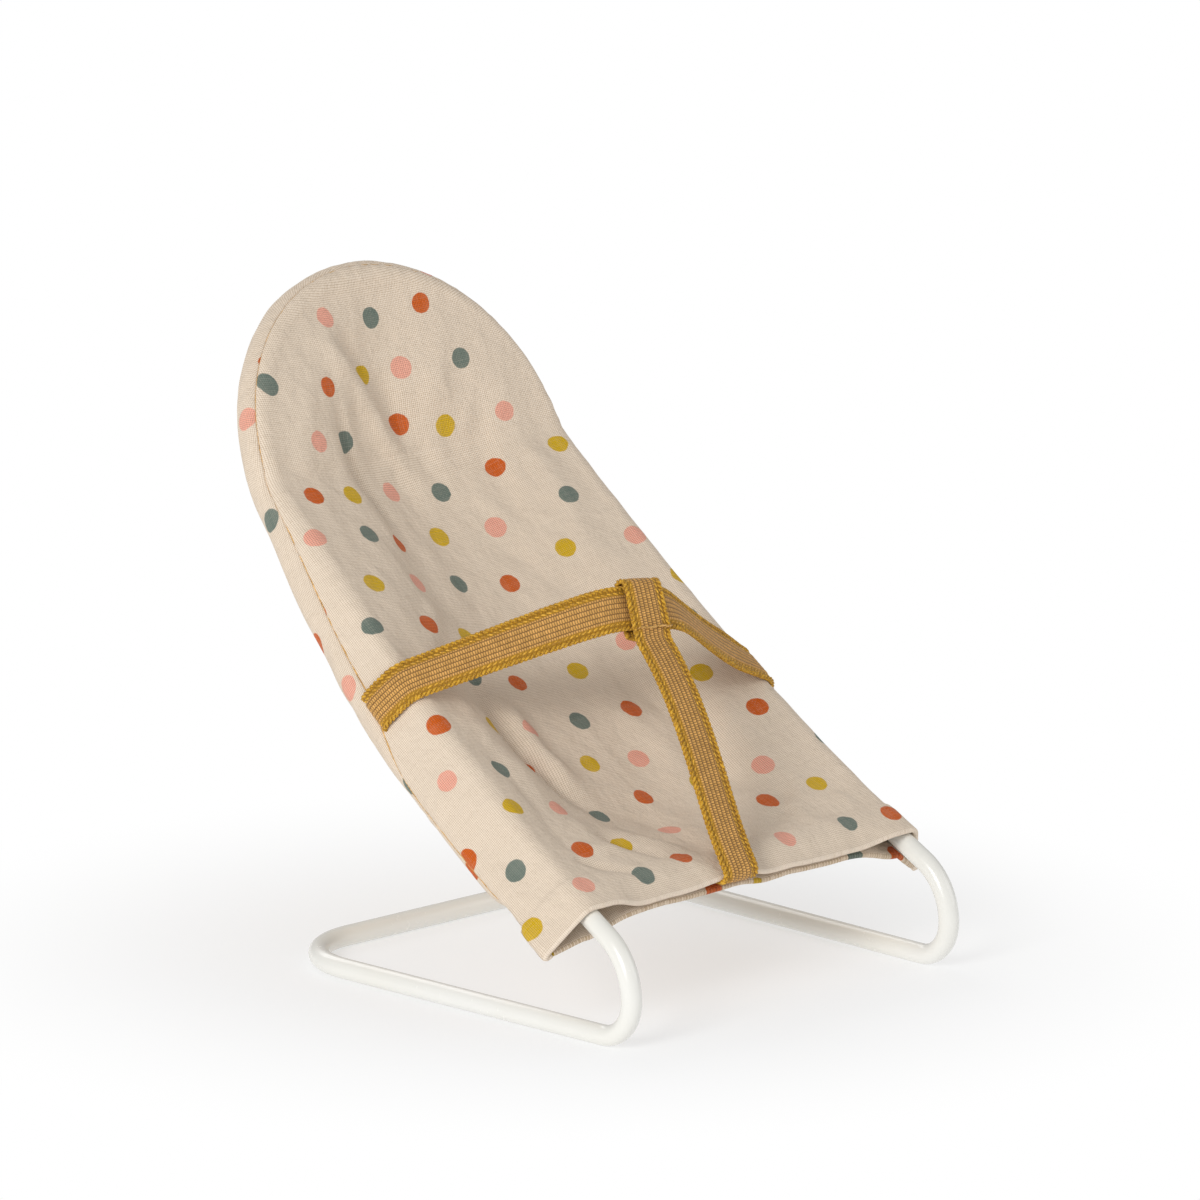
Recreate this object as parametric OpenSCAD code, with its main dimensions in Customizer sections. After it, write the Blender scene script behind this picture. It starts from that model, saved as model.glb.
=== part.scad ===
// Doll-size bouncer seat: one bent wire, a sewn cotton cover and a webbing harness.
// X runs across the seat, Y to its back and Z up. The floor is Z = 0.

/* [Wire] */
// Diameter of the coated wire
wire_d = 4; // [3:0.25:5]
// Opening between the two halves of the frame at the springy front bends
flex_gap = 0.4; // [0.3:0.1:0.8]

/* [Floor frame] */
// Depth over the wire's centres, front loops to rear bar
base_depth = 94.4; // [85:0.2:110]
// Width over the wire's centres at the front loops
front_width = 85; // [78:0.5:92]
// Width over the wire's centres where the side rails meet the rear bar
rear_width = 90; // [80:0.5:100]
// Radius of the two rear corners
rear_bend_r = 17.6; // [10:0.2:25]
// Radius of the lower half of each front loop
loop_low_r = 7.5; // [5:0.5:12]
// Radius of the upper half of each front loop
loop_high_r = 13; // [9:0.5:18]

/* [Seat frame] */
// Slope of the seat where it leaves the front loops, in degrees
seat_slope = 28; // [22:1:34]
// Length of the stretch under the legs
thigh_len = 56.6; // [50:0.2:65]
// How far that stretch curves up, in degrees
thigh_turn = 7.6; // [3:0.2:12]
// Length of the stretch under the back
back_len = 60.5; // [50:0.5:65]
// How far that stretch curves up, in degrees
back_turn = 5; // [2:0.2:10]
// Radius of the bend below the head
neck_r = 14; // [10:0.5:30]
// Slope of the head end, in degrees
recline = 62.5; // [55:0.5:70]
// Width over the wire's centres at the head end
head_width = 74; // [64:0.5:80]

/* [Cover] */
// Thickness of the cotton
cloth_t = 0.6; // [0.4:0.1:0.8]
// Room between the wire and the cotton
cloth_gap = 0.3; // [0.25:0.05:0.5]
// Room between the two layers of cotton
layer_gap = 0.3; // [0.25:0.05:0.5]
// Distance along the rail from the front loop to the cover's mouth
mouth_at = 5.2; // [3:0.2:10]
// Width of the hem round the mouth
hem_width = 8.5; // [6:0.5:11]
// How far the loose sides hang below the wire
side_drop = 12.6; // [8:0.2:14]
// Depth of the side seam below the wire
seam_drop = 7; // [4:0.2:8]
// How far the loose sides stand outside the rail's skin
side_flare = 3.4; // [1:0.2:4]
// How much further the two corners of the mouth stand out
corner_flare = 1.5; // [0:0.5:3]
// How far the back hangs below the wire at the mouth
mouth_drop = 5; // [4.4:0.2:9]
// How far the loose back hangs behind the wire at the head
head_drop = 4.5; // [3.4:0.1:5]
// Hollow of the seat below the wire's centre
seat_sag = 6; // [3:0.5:9]
// Hollow at the head below the wire's centre
head_sag = 2; // [1:0.5:4]

/* [Harness] */
// Width of the webbing
web_w = 9; // [6:0.5:10]
// Thickness of the webbing
web_t = 1.2; // [0.8:0.1:1.5]
// Distance along the left rail from its front loop to the belt
belt_left_at = 68; // [58:1:78]
// Distance along the right rail from its front loop to the belt
belt_right_at = 54; // [44:1:64]
// Rise of the belt's middle above its two ends
belt_rise = 22; // [20:0.5:28]
// How far the crotch strap draws the belt's middle forward
belt_pull = 4; // [0:0.5:8]
// Slope of the webbing's width at the belt's middle, in degrees
belt_tilt = 62; // [45:1:65]
// Room round the belt inside the strap's loop
loop_gap = 0.35; // [0.3:0.05:0.6]
// How far left of the middle the strap's end is sewn
strap_shift = 5; // [0:0.5:7]
// Length of the strap's end sewn under the front lip
strap_tuck = 6; // [4:0.5:9]

/* [Hidden] */
$fn = 32;
wire_r = wire_d / 2;
wire_colour = "whitesmoke";
cloth_colour = "blanchedalmond";
web_colour = "burlywood";
thread_colour = "goldenrod";

// ---- small helpers ----
function unit(v) = v / norm(v);
function mix(a, b, f) = a + (b - a) * f;
function smooth(f) = let (x = min(1, max(0, f))) x * x * (3 - 2 * x);
function flip(p) = [-p.x, p.y, p.z];
// A point on a cubic curve
function bezier(a, b, c, d, t) =
    a * pow(1 - t, 3) + b * (3 * t * pow(1 - t, 2)) + c * (3 * t * t * (1 - t)) + d * pow(t, 3);

// ---- the seat line, as seen from the side: [distance back, height, slope] ----
loop_turn = 90 - seat_slope;
loop_z = wire_r + loop_low_r;
neck_turn = recline - seat_slope - thigh_turn - back_turn;
neck_len = neck_r * neck_turn * PI / 180;
seat_steps = [[thigh_len, thigh_turn], [back_len, back_turn], [neck_len, neck_turn]];
seat_len = thigh_len + back_len + neck_len;
rail_start = [loop_high_r * (1 - cos(loop_turn)), loop_z + loop_high_r * sin(loop_turn), seat_slope];

function bend_by(p, len, turn) = let (radius = len * 180 / PI / turn)
    [p.x + radius * (sin(p.z + turn) - sin(p.z)), p.y + radius * (cos(p.z) - cos(p.z + turn)), p.z + turn];
function walk(p, left, i = 0) = i == len(seat_steps) || left <= 0 ? p :
    let (part = min(left, seat_steps[i][0]))
    walk(bend_by(p, part, seat_steps[i][1] * part / seat_steps[i][0]), left - part, i + 1);

rail_end = walk(rail_start, seat_len);
base_yaw = atan((rear_width - front_width) / 2 / base_depth);
seat_yaw = asin((front_width - head_width) / 2 / rail_end.x);

// ---- the right rail and the head arch in space ----
function rail_point(p) = [front_width / 2 - p.x * sin(seat_yaw), p.x * cos(seat_yaw), p.y];
arch_lean = atan2(sin(recline), cos(recline) * cos(seat_yaw));
arch_inset = asin(cos(recline) * sin(seat_yaw));
arch_r = head_width / 2 / cos(arch_inset);
arch_up = [0, cos(arch_lean), sin(arch_lean)];
arch_normal = [0, -sin(arch_lean), cos(arch_lean)];
arch_centre = let (p = rail_point(rail_end)) [0, p.y, p.z] - arch_up * arch_r * sin(arch_inset);

// A station is [wire's centre, inward, out of the seat, partner on the seat's middle line]
field_reach = 0.6;
field_ease = 0.4;
function rail_station(s) = let (p = walk(rail_start, s), c = rail_point(p)) [
    c,
    [-cos(seat_yaw), -sin(seat_yaw), 0],
    [sin(seat_yaw) * sin(p.z), -cos(seat_yaw) * sin(p.z), cos(p.z)],
    [0, c.y, c.z]];
function arch_station(a) = let (
    out = [cos(a), 0, 0] + arch_up * sin(a),
    rise = mix(sin(a), smooth(a / 90), field_ease)) [
    arch_centre + out * arch_r,
    -out,
    arch_normal,
    arch_centre + arch_up * arch_r * mix(sin(arch_inset), field_reach, rise)];

thigh_rows = 10;
back_rows = 9;
neck_rows = 3;
arch_rows = 12;
hem_end = mouth_at + hem_width;
stations = concat(
    [rail_station(mouth_at), rail_station(hem_end)],
    [for (i = [1:thigh_rows]) rail_station(mix(hem_end, thigh_len, i / thigh_rows))],
    [for (i = [1:back_rows]) rail_station(thigh_len + back_len * i / back_rows)],
    [for (i = [1:neck_rows]) rail_station(thigh_len + back_len + neck_len * i / neck_rows)],
    [for (i = [1:arch_rows]) arch_station(mix(arch_inset, 90, i / arch_rows))]);
apex = len(stations) - 1;
last_rail = apex - arch_rows;

// ---- the cover's section at a station, in [inward, out of the seat] about the wire ----
// The rows run from the mouth to the head: the sides hang loose up to the waist and tighten above it
waist_row = 12;
chest_row = 22.5;
lap_row = 16;
nape_row = 30;
mouth_rows = 4;
head_seam_drop = 0.3;
function ramp(k, from, to) = smooth((k - from) / (to - from));
function loose(k) = 1 - ramp(k, waist_row, chest_row);
function near_mouth(k) = 1 - ramp(k, 0, mouth_rows);
function thick(k) = k < 2 ? 2 * cloth_t : cloth_t;
function skin_r(k) = wire_r + cloth_gap + thick(k) / 2;
function flare(k) = skin_r(k) + side_flare * loose(k) + corner_flare * near_mouth(k);
function seam_depth(k) = mix(head_seam_drop, seam_drop, loose(k));
function drop(k) = mix(head_drop, side_drop, loose(k)) - (side_drop - mouth_drop) * near_mouth(k);
sag_rows = 6;
function sag(k) = mix(-skin_r(k), mix(seat_sag, head_sag, ramp(k, lap_row, nape_row)), ramp(k, 0, sag_rows));
// Across the seat: the cloth leaves the wire at a slope and hangs as a parabola
function half_span(k) = norm(stations[k][3] - stations[k][0]);
function dip(k) = skin_r(k) + sag(k);
function lead(k) = atan(2 * dip(k) / half_span(k));
function at(k, p) = stations[k][0] + stations[k][1] * p.x + stations[k][2] * p.y;
function middle(k) = let (n = stations[k][2]) stations[k][3] - unit([0, n.y, n.z]) * sag(k);
function field(k, f) = let (a = lead(k), edge = at(k, skin_r(k) * [sin(a), cos(a)]))
    mix(edge, middle(k), f) - stations[k][2] * (dip(k) * f * (1 - f));

drape_cols = 3;
wrap_cols = 5;
field_cols = 7;
wrap_from = 150;
function round_wire(radius, a) = radius * [cos(a), sin(a)];
function drape(k, f, radius, extra = 0) = let (
    top = round_wire(radius, wrap_from),
    seam = [-flare(k) - extra, -seam_depth(k)],
    knee = top + [-sin(wrap_from), cos(wrap_from)] * norm(seam - top) / 2)
    mix(mix(seam, knee, f), mix(knee, top, f), f);
front_cols = drape_cols + wrap_cols + field_cols;
function front_point(k, c) =
    c < drape_cols ? at(k, drape(k, c / drape_cols, skin_r(k))) :
    c < drape_cols + wrap_cols ?
        at(k, round_wire(skin_r(k), mix(wrap_from, 90 - lead(k), (c - drape_cols) / wrap_cols))) :
    field(k, (c - drape_cols - wrap_cols) / field_cols);

turn_cols = 5;
rise_cols = 5;
under_cols = 5;
back_cols = turn_cols + rise_cols + under_cols;
// The strap's end lies between the layers at the mouth
function spacing(k) = thick(k) + layer_gap + (web_t + layer_gap) * (1 - ramp(k, 1, mouth_rows));
// The layers part this far in from the wire
head_parting = 8;
seat_parting = 15;
rise_ease = 0.4;
function contact(k) = mix(head_parting, seat_parting, loose(k)) / half_span(k);
function back_point(k, c) = let (
    n = stations[k][2],
    seam_n = -seam_depth(k) - thick(k),
    low = at(k, [0, -drop(k)]),
    touch = field(k, contact(k)) - n * spacing(k),
    reach = norm(touch - low) * rise_ease,
    inward = unit(stations[k][3] - stations[k][0]))
    c <= turn_cols ? let (a = 90 * c / turn_cols, fall = mix(sin(a), 1 - cos(a), near_mouth(k)))
        at(k, [-flare(k) * cos(a), seam_n - (drop(k) + seam_n) * fall]) :
    c < turn_cols + rise_cols ?
        bezier(low, low + inward * reach, touch - inward * reach, touch, (c - turn_cols) / rise_cols) :
    field(k, mix(contact(k), 1, (c - turn_cols - rise_cols) / under_cols)) - n * spacing(k);

// ---- a cloth panel: rows follow the wire from the right side of the mouth round to the left ----
rows = 2 * apex;
function row_of(k) = min(k, rows - k);
function side(k, p) = k > apex ? flip(p) : p;
// The last column is the seat's middle line, which both halves share
function vertex(k, c, cols) = c < cols ? k * cols + c : (rows + 1) * cols + row_of(k);
function skin(half, cols, lift) = concat(
    [for (k = [0:rows], c = [0:cols - 1]) side(k, half[row_of(k)][c] + lift[row_of(k)][c])],
    [for (k = [0:apex]) let (p = half[k][cols] + lift[k][cols]) [0, p.y, p.z]]);
function cloth_normal(half, k, c, cols) = let (
    up = half[min(apex, k + 1)][c] - half[max(0, k - 1)][c],
    over = c < cols ? half[k][c + 1] - half[k][max(0, c - 1)] : [-1, 0, 0],
    rise = k == apex && c < cols ? [-1, 0, 0] : up)
    unit(cross(over, rise));
module cloth(half, cols) {
    count = (rows + 1) * cols + apex + 1;
    normals = [for (k = [0:apex]) [for (c = [0:cols]) cloth_normal(half, k, c, cols) * thick(k) / 2]];
    function v(k, c, layer) = vertex(k, c, cols) + layer * count;
    function cell(k, c, layer) =
        [v(k, c, layer), v(k + 1, c, layer), v(k + 1, c + 1, layer), v(k, c + 1, layer)];
    function turned(q) = [q[0], q[3], q[2], q[1]];
    quads = concat(
        [for (k = [0:rows - 1], c = [0:cols - 1]) cell(k, c, 0)],
        [for (k = [0:rows - 1], c = [0:cols - 1]) turned(cell(k, c, 1))],
        [for (k = [0:rows - 1]) [v(k, 0, 0), v(k, 0, 1), v(k + 1, 0, 1), v(k + 1, 0, 0)]],
        [for (c = [0:cols - 1]) [v(0, c, 0), v(0, c + 1, 0), v(0, c + 1, 1), v(0, c, 1)]],
        [for (c = [0:cols - 1]) [v(rows, c, 0), v(rows, c, 1), v(rows, c + 1, 1), v(rows, c + 1, 0)]]);
    polyhedron(
        concat(skin(half, cols, -normals), skin(half, cols, normals)),
        [for (q = quads) each [[q[0], q[2], q[1]], [q[0], q[3], q[2]]]]);
}

front_half = [for (k = [0:apex]) [for (c = [0:front_cols]) front_point(k, c)]];
back_half = [for (k = [0:apex]) [for (c = [0:back_cols]) back_point(k, c)]];

// ---- the part stands with the middle of its box over the origin ----
back_edge = max([for (row = back_half) for (p = row) p.y]) + cloth_t / 2;
mid_y = (back_edge - wire_r) / 2;
module placed() translate([0, -mid_y, 0]) children();

// ---- the harness ----
web_lift = cloth_gap + cloth_t + layer_gap + web_t / 2;
web_r = wire_r + web_lift;
flat_half = web_w / 2 + layer_gap;
crest = 4;
flank = 0.75;
// The belt's middle is flat in the loop, and its flanks run straight down to the rails
function bow(x) = sqrt(pow(flank * max(0, abs(x) - flat_half), 2) + crest * crest) - crest;
flank_run = front_width / 2;
flank_angle = atan(belt_rise / bow(flank_run) * flank * flank * (flank_run - flat_half)
    / (bow(flank_run) + crest));
function on_station(st, p) = st[0] + st[1] * p.x + st[2] * p.y;
function over_rail(s) = on_station(rail_station(s), round_wire(web_r, 90 + flank_angle));
belt_from = flip(over_rail(belt_left_at));
belt_to = over_rail(belt_right_at);
belt_half = (belt_to.x - belt_from.x) / 2;
seat_normal = let (n = rail_station((belt_left_at + belt_right_at) / 2)[2]) unit([0, n.y, n.z]);
seat_along = [0, seat_normal.z, -seat_normal.y];
function belt_point(x) = mix(belt_from, belt_to, (x - belt_from.x) / (2 * belt_half))
    + (seat_normal * belt_rise - seat_along * belt_pull) * (1 - bow(x) / bow(belt_half));
belt_across = [0, cos(belt_tilt), sin(belt_tilt)];
function belt_width(x) = mix(belt_across, seat_along, smooth(abs(x) / belt_half));

// Webbing swept along a route; across holds the direction of its width at each point
web_section = [[-0.5, -0.25], [-0.44, -0.5], [0.44, -0.5], [0.5, -0.25],
    [0.5, 0.25], [0.44, 0.5], [-0.44, 0.5], [-0.5, 0.25]];
module webbing(route, across, width = web_w, height = web_t) {
    last = len(route) - 1;
    sides = len(web_section);
    rings = [for (i = [0:last]) let (
        ahead = unit(route[min(last, i + 1)] - route[max(0, i - 1)]),
        wide = unit(across[i] - ahead * (across[i] * ahead)),
        out = cross(ahead, wide))
        for (p = web_section) route[i] + wide * (p.x * width) + out * (p.y * height)];
    polyhedron(rings, concat(
        [[for (j = [0:sides - 1]) j]],
        [[for (j = [sides - 1:-1:0]) last * sides + j]],
        [for (i = [0:last - 1], j = [0:sides - 1]) let (a = i * sides + j, b = i * sides + (j + 1) % sides)
            each [[a, a + sides, b + sides], [a, b + sides, b]]]));
}

// The free arch starts where the webbing's edges swing clear of the rails
belt_free = 8;
belt_rings = 30;
module waist_belt() {
    route = [for (i = [0:belt_rings]) mix(belt_from.x + belt_free, belt_to.x - belt_free, i / belt_rings)];
    color(web_colour) placed() webbing([for (x = route) belt_point(x)], [for (x = route) belt_width(x)]);
}

// Each end bends from the arch over its rail and down the cover's side to the seam
joint_gap = 0.4;
over_rings = 5;
end_rings = 6;
free_rings = 5;
function row_at(s) = s < thigh_len ? 1 + thigh_rows * (s - hem_end) / (thigh_len - hem_end) :
    1 + thigh_rows + back_rows * (s - thigh_len) / back_len;
function end_section(k) = concat(
    [for (i = [0:over_rings - 1]) round_wire(web_r, mix(90 + flank_angle, wrap_from, i / over_rings))],
    [for (i = [0:end_rings - 1]) drape(k, 1 - i / end_rings, web_r, web_r - skin_r(k))]);
module belt_end(s, left) {
    st = rail_station(s);
    ahead = cross(st[1], st[2]);
    hand = left ? 1 : -1;
    rail_x = left ? belt_from.x : belt_to.x;
    free_run = [for (i = [0:free_rings - 1]) rail_x + hand * (belt_free - joint_gap) * (1 - i / free_rings)];
    fixed = [for (p = end_section(row_at(s))) let (q = on_station(st, p)) left ? flip(q) : q];
    fixed_across = hand * (left ? flip(ahead) : ahead);
    webbing(concat([for (x = free_run) belt_point(x)], fixed),
        concat([for (x = free_run) hand * belt_width(x)], [for (p = fixed) fixed_across]));
}
module belt_end_left() color(web_colour) placed() belt_end(belt_left_at, true);
module belt_end_right() color(web_colour) placed() belt_end(belt_right_at, false);

// The frame of the belt's middle: along the belt, across it and outward
belt_run = unit(belt_to - belt_from);
belt_wide = unit(belt_across - belt_run * (belt_across * belt_run));
belt_out = cross(belt_run, belt_wide);
belt_centre = belt_point(0);
module at_belt()
    multmatrix([for (i = [0:2]) [belt_run[i], belt_wide[i], belt_out[i], belt_centre[i]]]) children();
module pill(width, height) {
    square([width - height, height], center = true);
    for (end = [-1, 1]) translate([end * (width - height) / 2, 0]) circle(height / 2);
}
loop_inner_w = web_w + 2 * loop_gap;
loop_inner_h = web_t + 2 * loop_gap;
loop_outer_w = loop_inner_w + 2 * web_t;
loop_outer_h = loop_inner_h + 2 * web_t;
module crotch_loop() color(web_colour) placed() at_belt() rotate([90, 0, 90])
    linear_extrude(web_w, center = true) difference() {
        pill(loop_outer_w, loop_outer_h);
        square([loop_inner_w, loop_inner_h], center = true);
    }

// The crotch strap, in the seat's middle plane, down to the lip and over it into the mouth
strap_slope = 45;
strap_land = 34;
strap_rings = 16;
strap_ease = 0.38;
land_ease = 0.27;
lip_rings = 10;
lip_back = unit(middle(1) - middle(0));
lip_up = [0, -lip_back.z, lip_back.y];
lip_r = thick(0) / 2 + layer_gap + web_t / 2;
lip_centre = middle(0);
function round_lip(a) = lip_centre + (lip_up * cos(a) - lip_back * sin(a)) * lip_r;
function lip_heading(a) = -lip_back * cos(a) - lip_up * sin(a);
strap_top = belt_centre - belt_wide * (loop_outer_w / 2 + joint_gap + web_t / 2);
strap_route = let (
    top = [0, strap_top.y, strap_top.z],
    land = round_lip(strap_land),
    leave = top - [0, cos(strap_slope), sin(strap_slope)] * norm(top - land) * strap_ease,
    arrive = land - lip_heading(strap_land) * norm(top - land) * land_ease)
    concat(
        [for (i = [0:strap_rings - 1]) bezier(top, leave, arrive, land, i / strap_rings)
            - [strap_shift * smooth(i / strap_rings), 0, 0]],
        [for (i = [0:lip_rings]) round_lip(mix(strap_land, 180, i / lip_rings)) - [strap_shift, 0, 0]],
        [round_lip(180) + lip_back * strap_tuck - [strap_shift, 0, 0]]);
module crotch_strap() color(web_colour) placed()
    webbing(strap_route, [for (p = strap_route) [-1, 0, 0]]);

// The stitched bar that closes the loop just below the belt
tack_h = 0.5;
tack_w = 1;
tack_len = web_w * 0.8;
module loop_tack() color(thread_colour) placed() at_belt()
    translate([0, -(web_w / 2 + loop_gap), (loop_outer_h + tack_h) / 2])
    cube([tack_len, tack_w, tack_h], center = true);

// ---- the wire, bent step by step from a heading along X towards Y ----
// Every other stretch is a hair thinner and reaches a hair into its neighbours, so that they fuse
fuse_reach = 0.3;
fuse_step = 0.02;
function thin(i) = wire_r - (i % 2) * fuse_step;
function reach(i) = (i % 2) * fuse_reach;
function degrees(len, radius) = len / radius * 180 / PI;
function facets(turn) = 360 / abs(turn) * max(8, ceil(abs(turn) / 5));
function arc_len(radius, turn) = radius * abs(turn) * PI / 180;
module straight(len, i)
    translate([-reach(i), 0, 0]) rotate([0, 90, 0]) cylinder(h = len + 2 * reach(i), r = thin(i));
module arc(len, turn, i) {
    radius = len * 180 / PI / abs(turn);
    over = degrees(reach(i), radius);
    mirror([0, turn < 0 ? 1 : 0, 0]) translate([0, radius, 0]) rotate([0, 0, -90 - over])
        rotate_extrude(angle = abs(turn) + 2 * over, $fn = facets(turn))
        translate([radius, 0]) circle(thin(i));
}
module after(len, turn) {
    end = turn == 0 ? [len, 0, 0] : bend_by([0, 0, 0], len, turn);
    translate([end.x, end.y, 0]) rotate([0, 0, turn]) children();
}
module run(steps, i = 0) {
    if (i < len(steps)) {
        if (steps[i][1] == 0) straight(steps[i][0], i);
        else arc(steps[i][0], steps[i][1], i);
        after(steps[i][0], steps[i][1]) run(steps, i + 1);
    }
}
module at_loop(yaw)
    translate([front_width / 2, 0, loop_z]) rotate([0, 0, yaw]) rotate([90, 0, 90]) children();
module both_sides() {
    children();
    mirror([1, 0, 0]) children();
}

module base_wire() {
    low_turn = 90 - degrees(flex_gap / 2, loop_low_r);
    corner_turn = 90 + base_yaw;
    corner_cut = rear_bend_r * tan(corner_turn / 2);
    rail_len = base_depth / cos(base_yaw) - corner_cut - loop_low_r;
    bar_len = rear_width - 2 * corner_cut;
    color(wire_colour) placed() union() {
        both_sides() at_loop(-base_yaw) rotate([0, 0, -90])
            after(flex_gap / 2, degrees(flex_gap / 2, loop_low_r))
            run([[arc_len(loop_low_r, low_turn), low_turn], [rail_len, 0]]);
        both_sides() translate([bar_len / 2, base_depth, wire_r])
            arc(arc_len(rear_bend_r, corner_turn), -corner_turn, 0);
        translate([-bar_len / 2, base_depth, wire_r]) straight(bar_len, 1);
    }
}

module seat_wire() {
    gap_turn = degrees(flex_gap / 2, loop_high_r);
    color(wire_colour) placed() union() {
        both_sides() at_loop(seat_yaw) rotate([0, 0, 90]) after(flex_gap / 2, -gap_turn)
            run(concat([[arc_len(loop_high_r, loop_turn - gap_turn), gap_turn - loop_turn]], seat_steps));
        translate(arch_centre) rotate([arch_lean, 0, 0]) rotate([0, 0, arch_inset])
            rotate_extrude(angle = 180 - 2 * arch_inset, $fn = 72) translate([arch_r, 0]) circle(wire_r);
    }
}

module cover_front() color(cloth_colour) placed() cloth(front_half, front_cols);
module cover_back() color(cloth_colour) placed() cloth(back_half, back_cols);

base_wire();
seat_wire();
cover_front();
cover_back();
waist_belt();
belt_end_left();
belt_end_right();
crotch_strap();
crotch_loop();
loop_tack();
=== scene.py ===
"""A doll's bouncer seat: a bent white wire, a spotted cotton cover and a webbing harness."""

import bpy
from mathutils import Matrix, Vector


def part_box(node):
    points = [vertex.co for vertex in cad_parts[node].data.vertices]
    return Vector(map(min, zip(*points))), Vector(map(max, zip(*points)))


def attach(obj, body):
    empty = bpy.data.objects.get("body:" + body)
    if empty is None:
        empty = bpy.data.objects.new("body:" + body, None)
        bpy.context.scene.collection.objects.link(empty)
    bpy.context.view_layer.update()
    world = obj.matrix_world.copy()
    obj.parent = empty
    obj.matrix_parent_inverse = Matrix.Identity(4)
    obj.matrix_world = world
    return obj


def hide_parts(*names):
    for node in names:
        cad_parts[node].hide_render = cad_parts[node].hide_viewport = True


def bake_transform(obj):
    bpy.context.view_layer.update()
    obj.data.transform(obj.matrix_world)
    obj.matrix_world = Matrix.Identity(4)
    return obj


bl_info = {
    "name": "Doll Bouncer Seat",
    "version": (1, 0, 0),
    "blender": (4, 5, 0),
    "location": "3D View > Sidebar > Bouncer Seat",
    "description": "Makes the wire, cover, harness and threads of a doll's bouncer seat",
    "category": "Add Mesh",
}

import math
import random

import bmesh
import bpy
import numpy as np
from mathutils import Matrix, Vector, noise

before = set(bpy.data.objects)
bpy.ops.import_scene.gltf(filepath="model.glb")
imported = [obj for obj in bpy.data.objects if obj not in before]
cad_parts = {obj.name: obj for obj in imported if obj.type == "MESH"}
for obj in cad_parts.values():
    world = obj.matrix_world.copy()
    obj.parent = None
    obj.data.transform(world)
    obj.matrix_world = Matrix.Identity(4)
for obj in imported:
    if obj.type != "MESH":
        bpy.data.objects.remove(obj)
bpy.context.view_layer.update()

MM = 0.001
MERGE = 0.01 * MM                  # points closer than this are one
X_AXIS = np.array([1.0, 0.0, 0.0])


# ---------------------------------------------------------------- sizes and colours
def length(name, description, millimetres):
    return bpy.props.FloatProperty(
        name=name, description=description, default=millimetres * MM, min=0, precision=5, unit="LENGTH")


def angle(name, description, degrees):
    return bpy.props.FloatProperty(
        name=name, description=description, default=math.radians(degrees), subtype="ANGLE", unit="ROTATION")


def colour(name, description, red, green, blue):
    return bpy.props.FloatVectorProperty(
        name=name, description=description, default=(red, green, blue), size=3, min=0, max=1, subtype="COLOR")


class WireSizes(bpy.types.PropertyGroup):
    """The bent wire, by its centre line."""
    diameter: length("Diameter", "Thickness of the coated wire", 4)
    base_depth: length("Base depth", "From the front loops to the rear bar", 94.4)
    front_width: length("Front width", "Across the front loops", 85)
    rear_width: length("Rear width", "Across the rails at the rear bar", 90)
    rear_bend: length("Rear bend", "Radius of the rear corners", 17.6)
    loop_low: length("Lower loop", "Radius of each front loop's lower half", 7.5)
    loop_high: length("Upper loop", "Radius of each front loop's upper half", 13)
    seat_slope: angle("Seat slope", "Slope where the seat leaves the loops", 28)
    thigh_length: length("Thigh length", "Stretch under the legs", 56.6)
    thigh_turn: angle("Thigh turn", "How far that stretch curves up", 7.6)
    back_length: length("Back length", "Stretch under the back", 60.5)
    back_turn: angle("Back turn", "How far that stretch curves up", 5)
    neck_radius: length("Neck radius", "Radius of the bend below the head", 14)
    recline: angle("Recline", "Slope of the head end", 62.5)
    head_width: length("Head width", "Across the head arch", 74)


class CoverSizes(bpy.types.PropertyGroup):
    """The two sewn cotton panels."""
    cloth: length("Cloth", "Room that one layer of cotton takes", 0.6)
    yarn: length("Yarn", "Thickness of the cotton itself", 0.5)
    gap: length("Gap", "Room between wire and cotton", 0.3)
    layer_gap: length("Layer gap", "Room between the two panels", 0.3)
    mouth: length("Mouth", "Along the rail from the loop to the mouth", 5.2)
    hem: length("Hem", "Width of the hem round the mouth", 8.5)
    side_drop: length("Side drop", "How far the loose sides hang below the wire", 12.6)
    mouth_drop: length("Mouth drop", "The same at the mouth", 5)
    head_drop: length("Head drop", "The same at the head", 4.5)
    seam_drop: length("Seam drop", "Depth of the side seam below the wire", 7)
    side_flare: length("Side flare", "How far the loose sides stand out", 3.4)
    corner_flare: length("Corner flare", "How much further the mouth's corners stand out", 1.5)
    seat_sag: length("Seat sag", "Hollow of the seat", 6)
    head_sag: length("Head sag", "Hollow at the head", 2)
    weave: length("Weave", "Distance from thread to thread", 0.38)
    spot: length("Spot", "Diameter of a printed spot", 4.3)
    spot_spacing: length("Spot spacing", "Distance between spots in one row", 13.6)


class HarnessSizes(bpy.types.PropertyGroup):
    """The belt, and the strap that loops round it."""
    width: length("Width", "Width of the webbing", 9)
    thickness: length("Thickness", "Thickness of the webbing", 1.2)
    left_at: length("Left end", "Along the left rail from the loop to the belt", 68)
    right_at: length("Right end", "Along the right rail from the loop to the belt", 54)
    rise: length("Rise", "Rise of the belt's middle above its ends", 22)
    pull: length("Pull", "How far the strap draws the belt forward", 4)
    tilt: angle("Tilt", "Slope of the webbing's width at the middle", 62)
    loop_gap: length("Loop gap", "Room round the belt inside the loop", 0.35)
    shift: length("Shift", "How far to the side the strap's end is sewn", 5)
    tuck: length("Tuck", "Length of strap sewn inside the mouth", 6)


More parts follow.
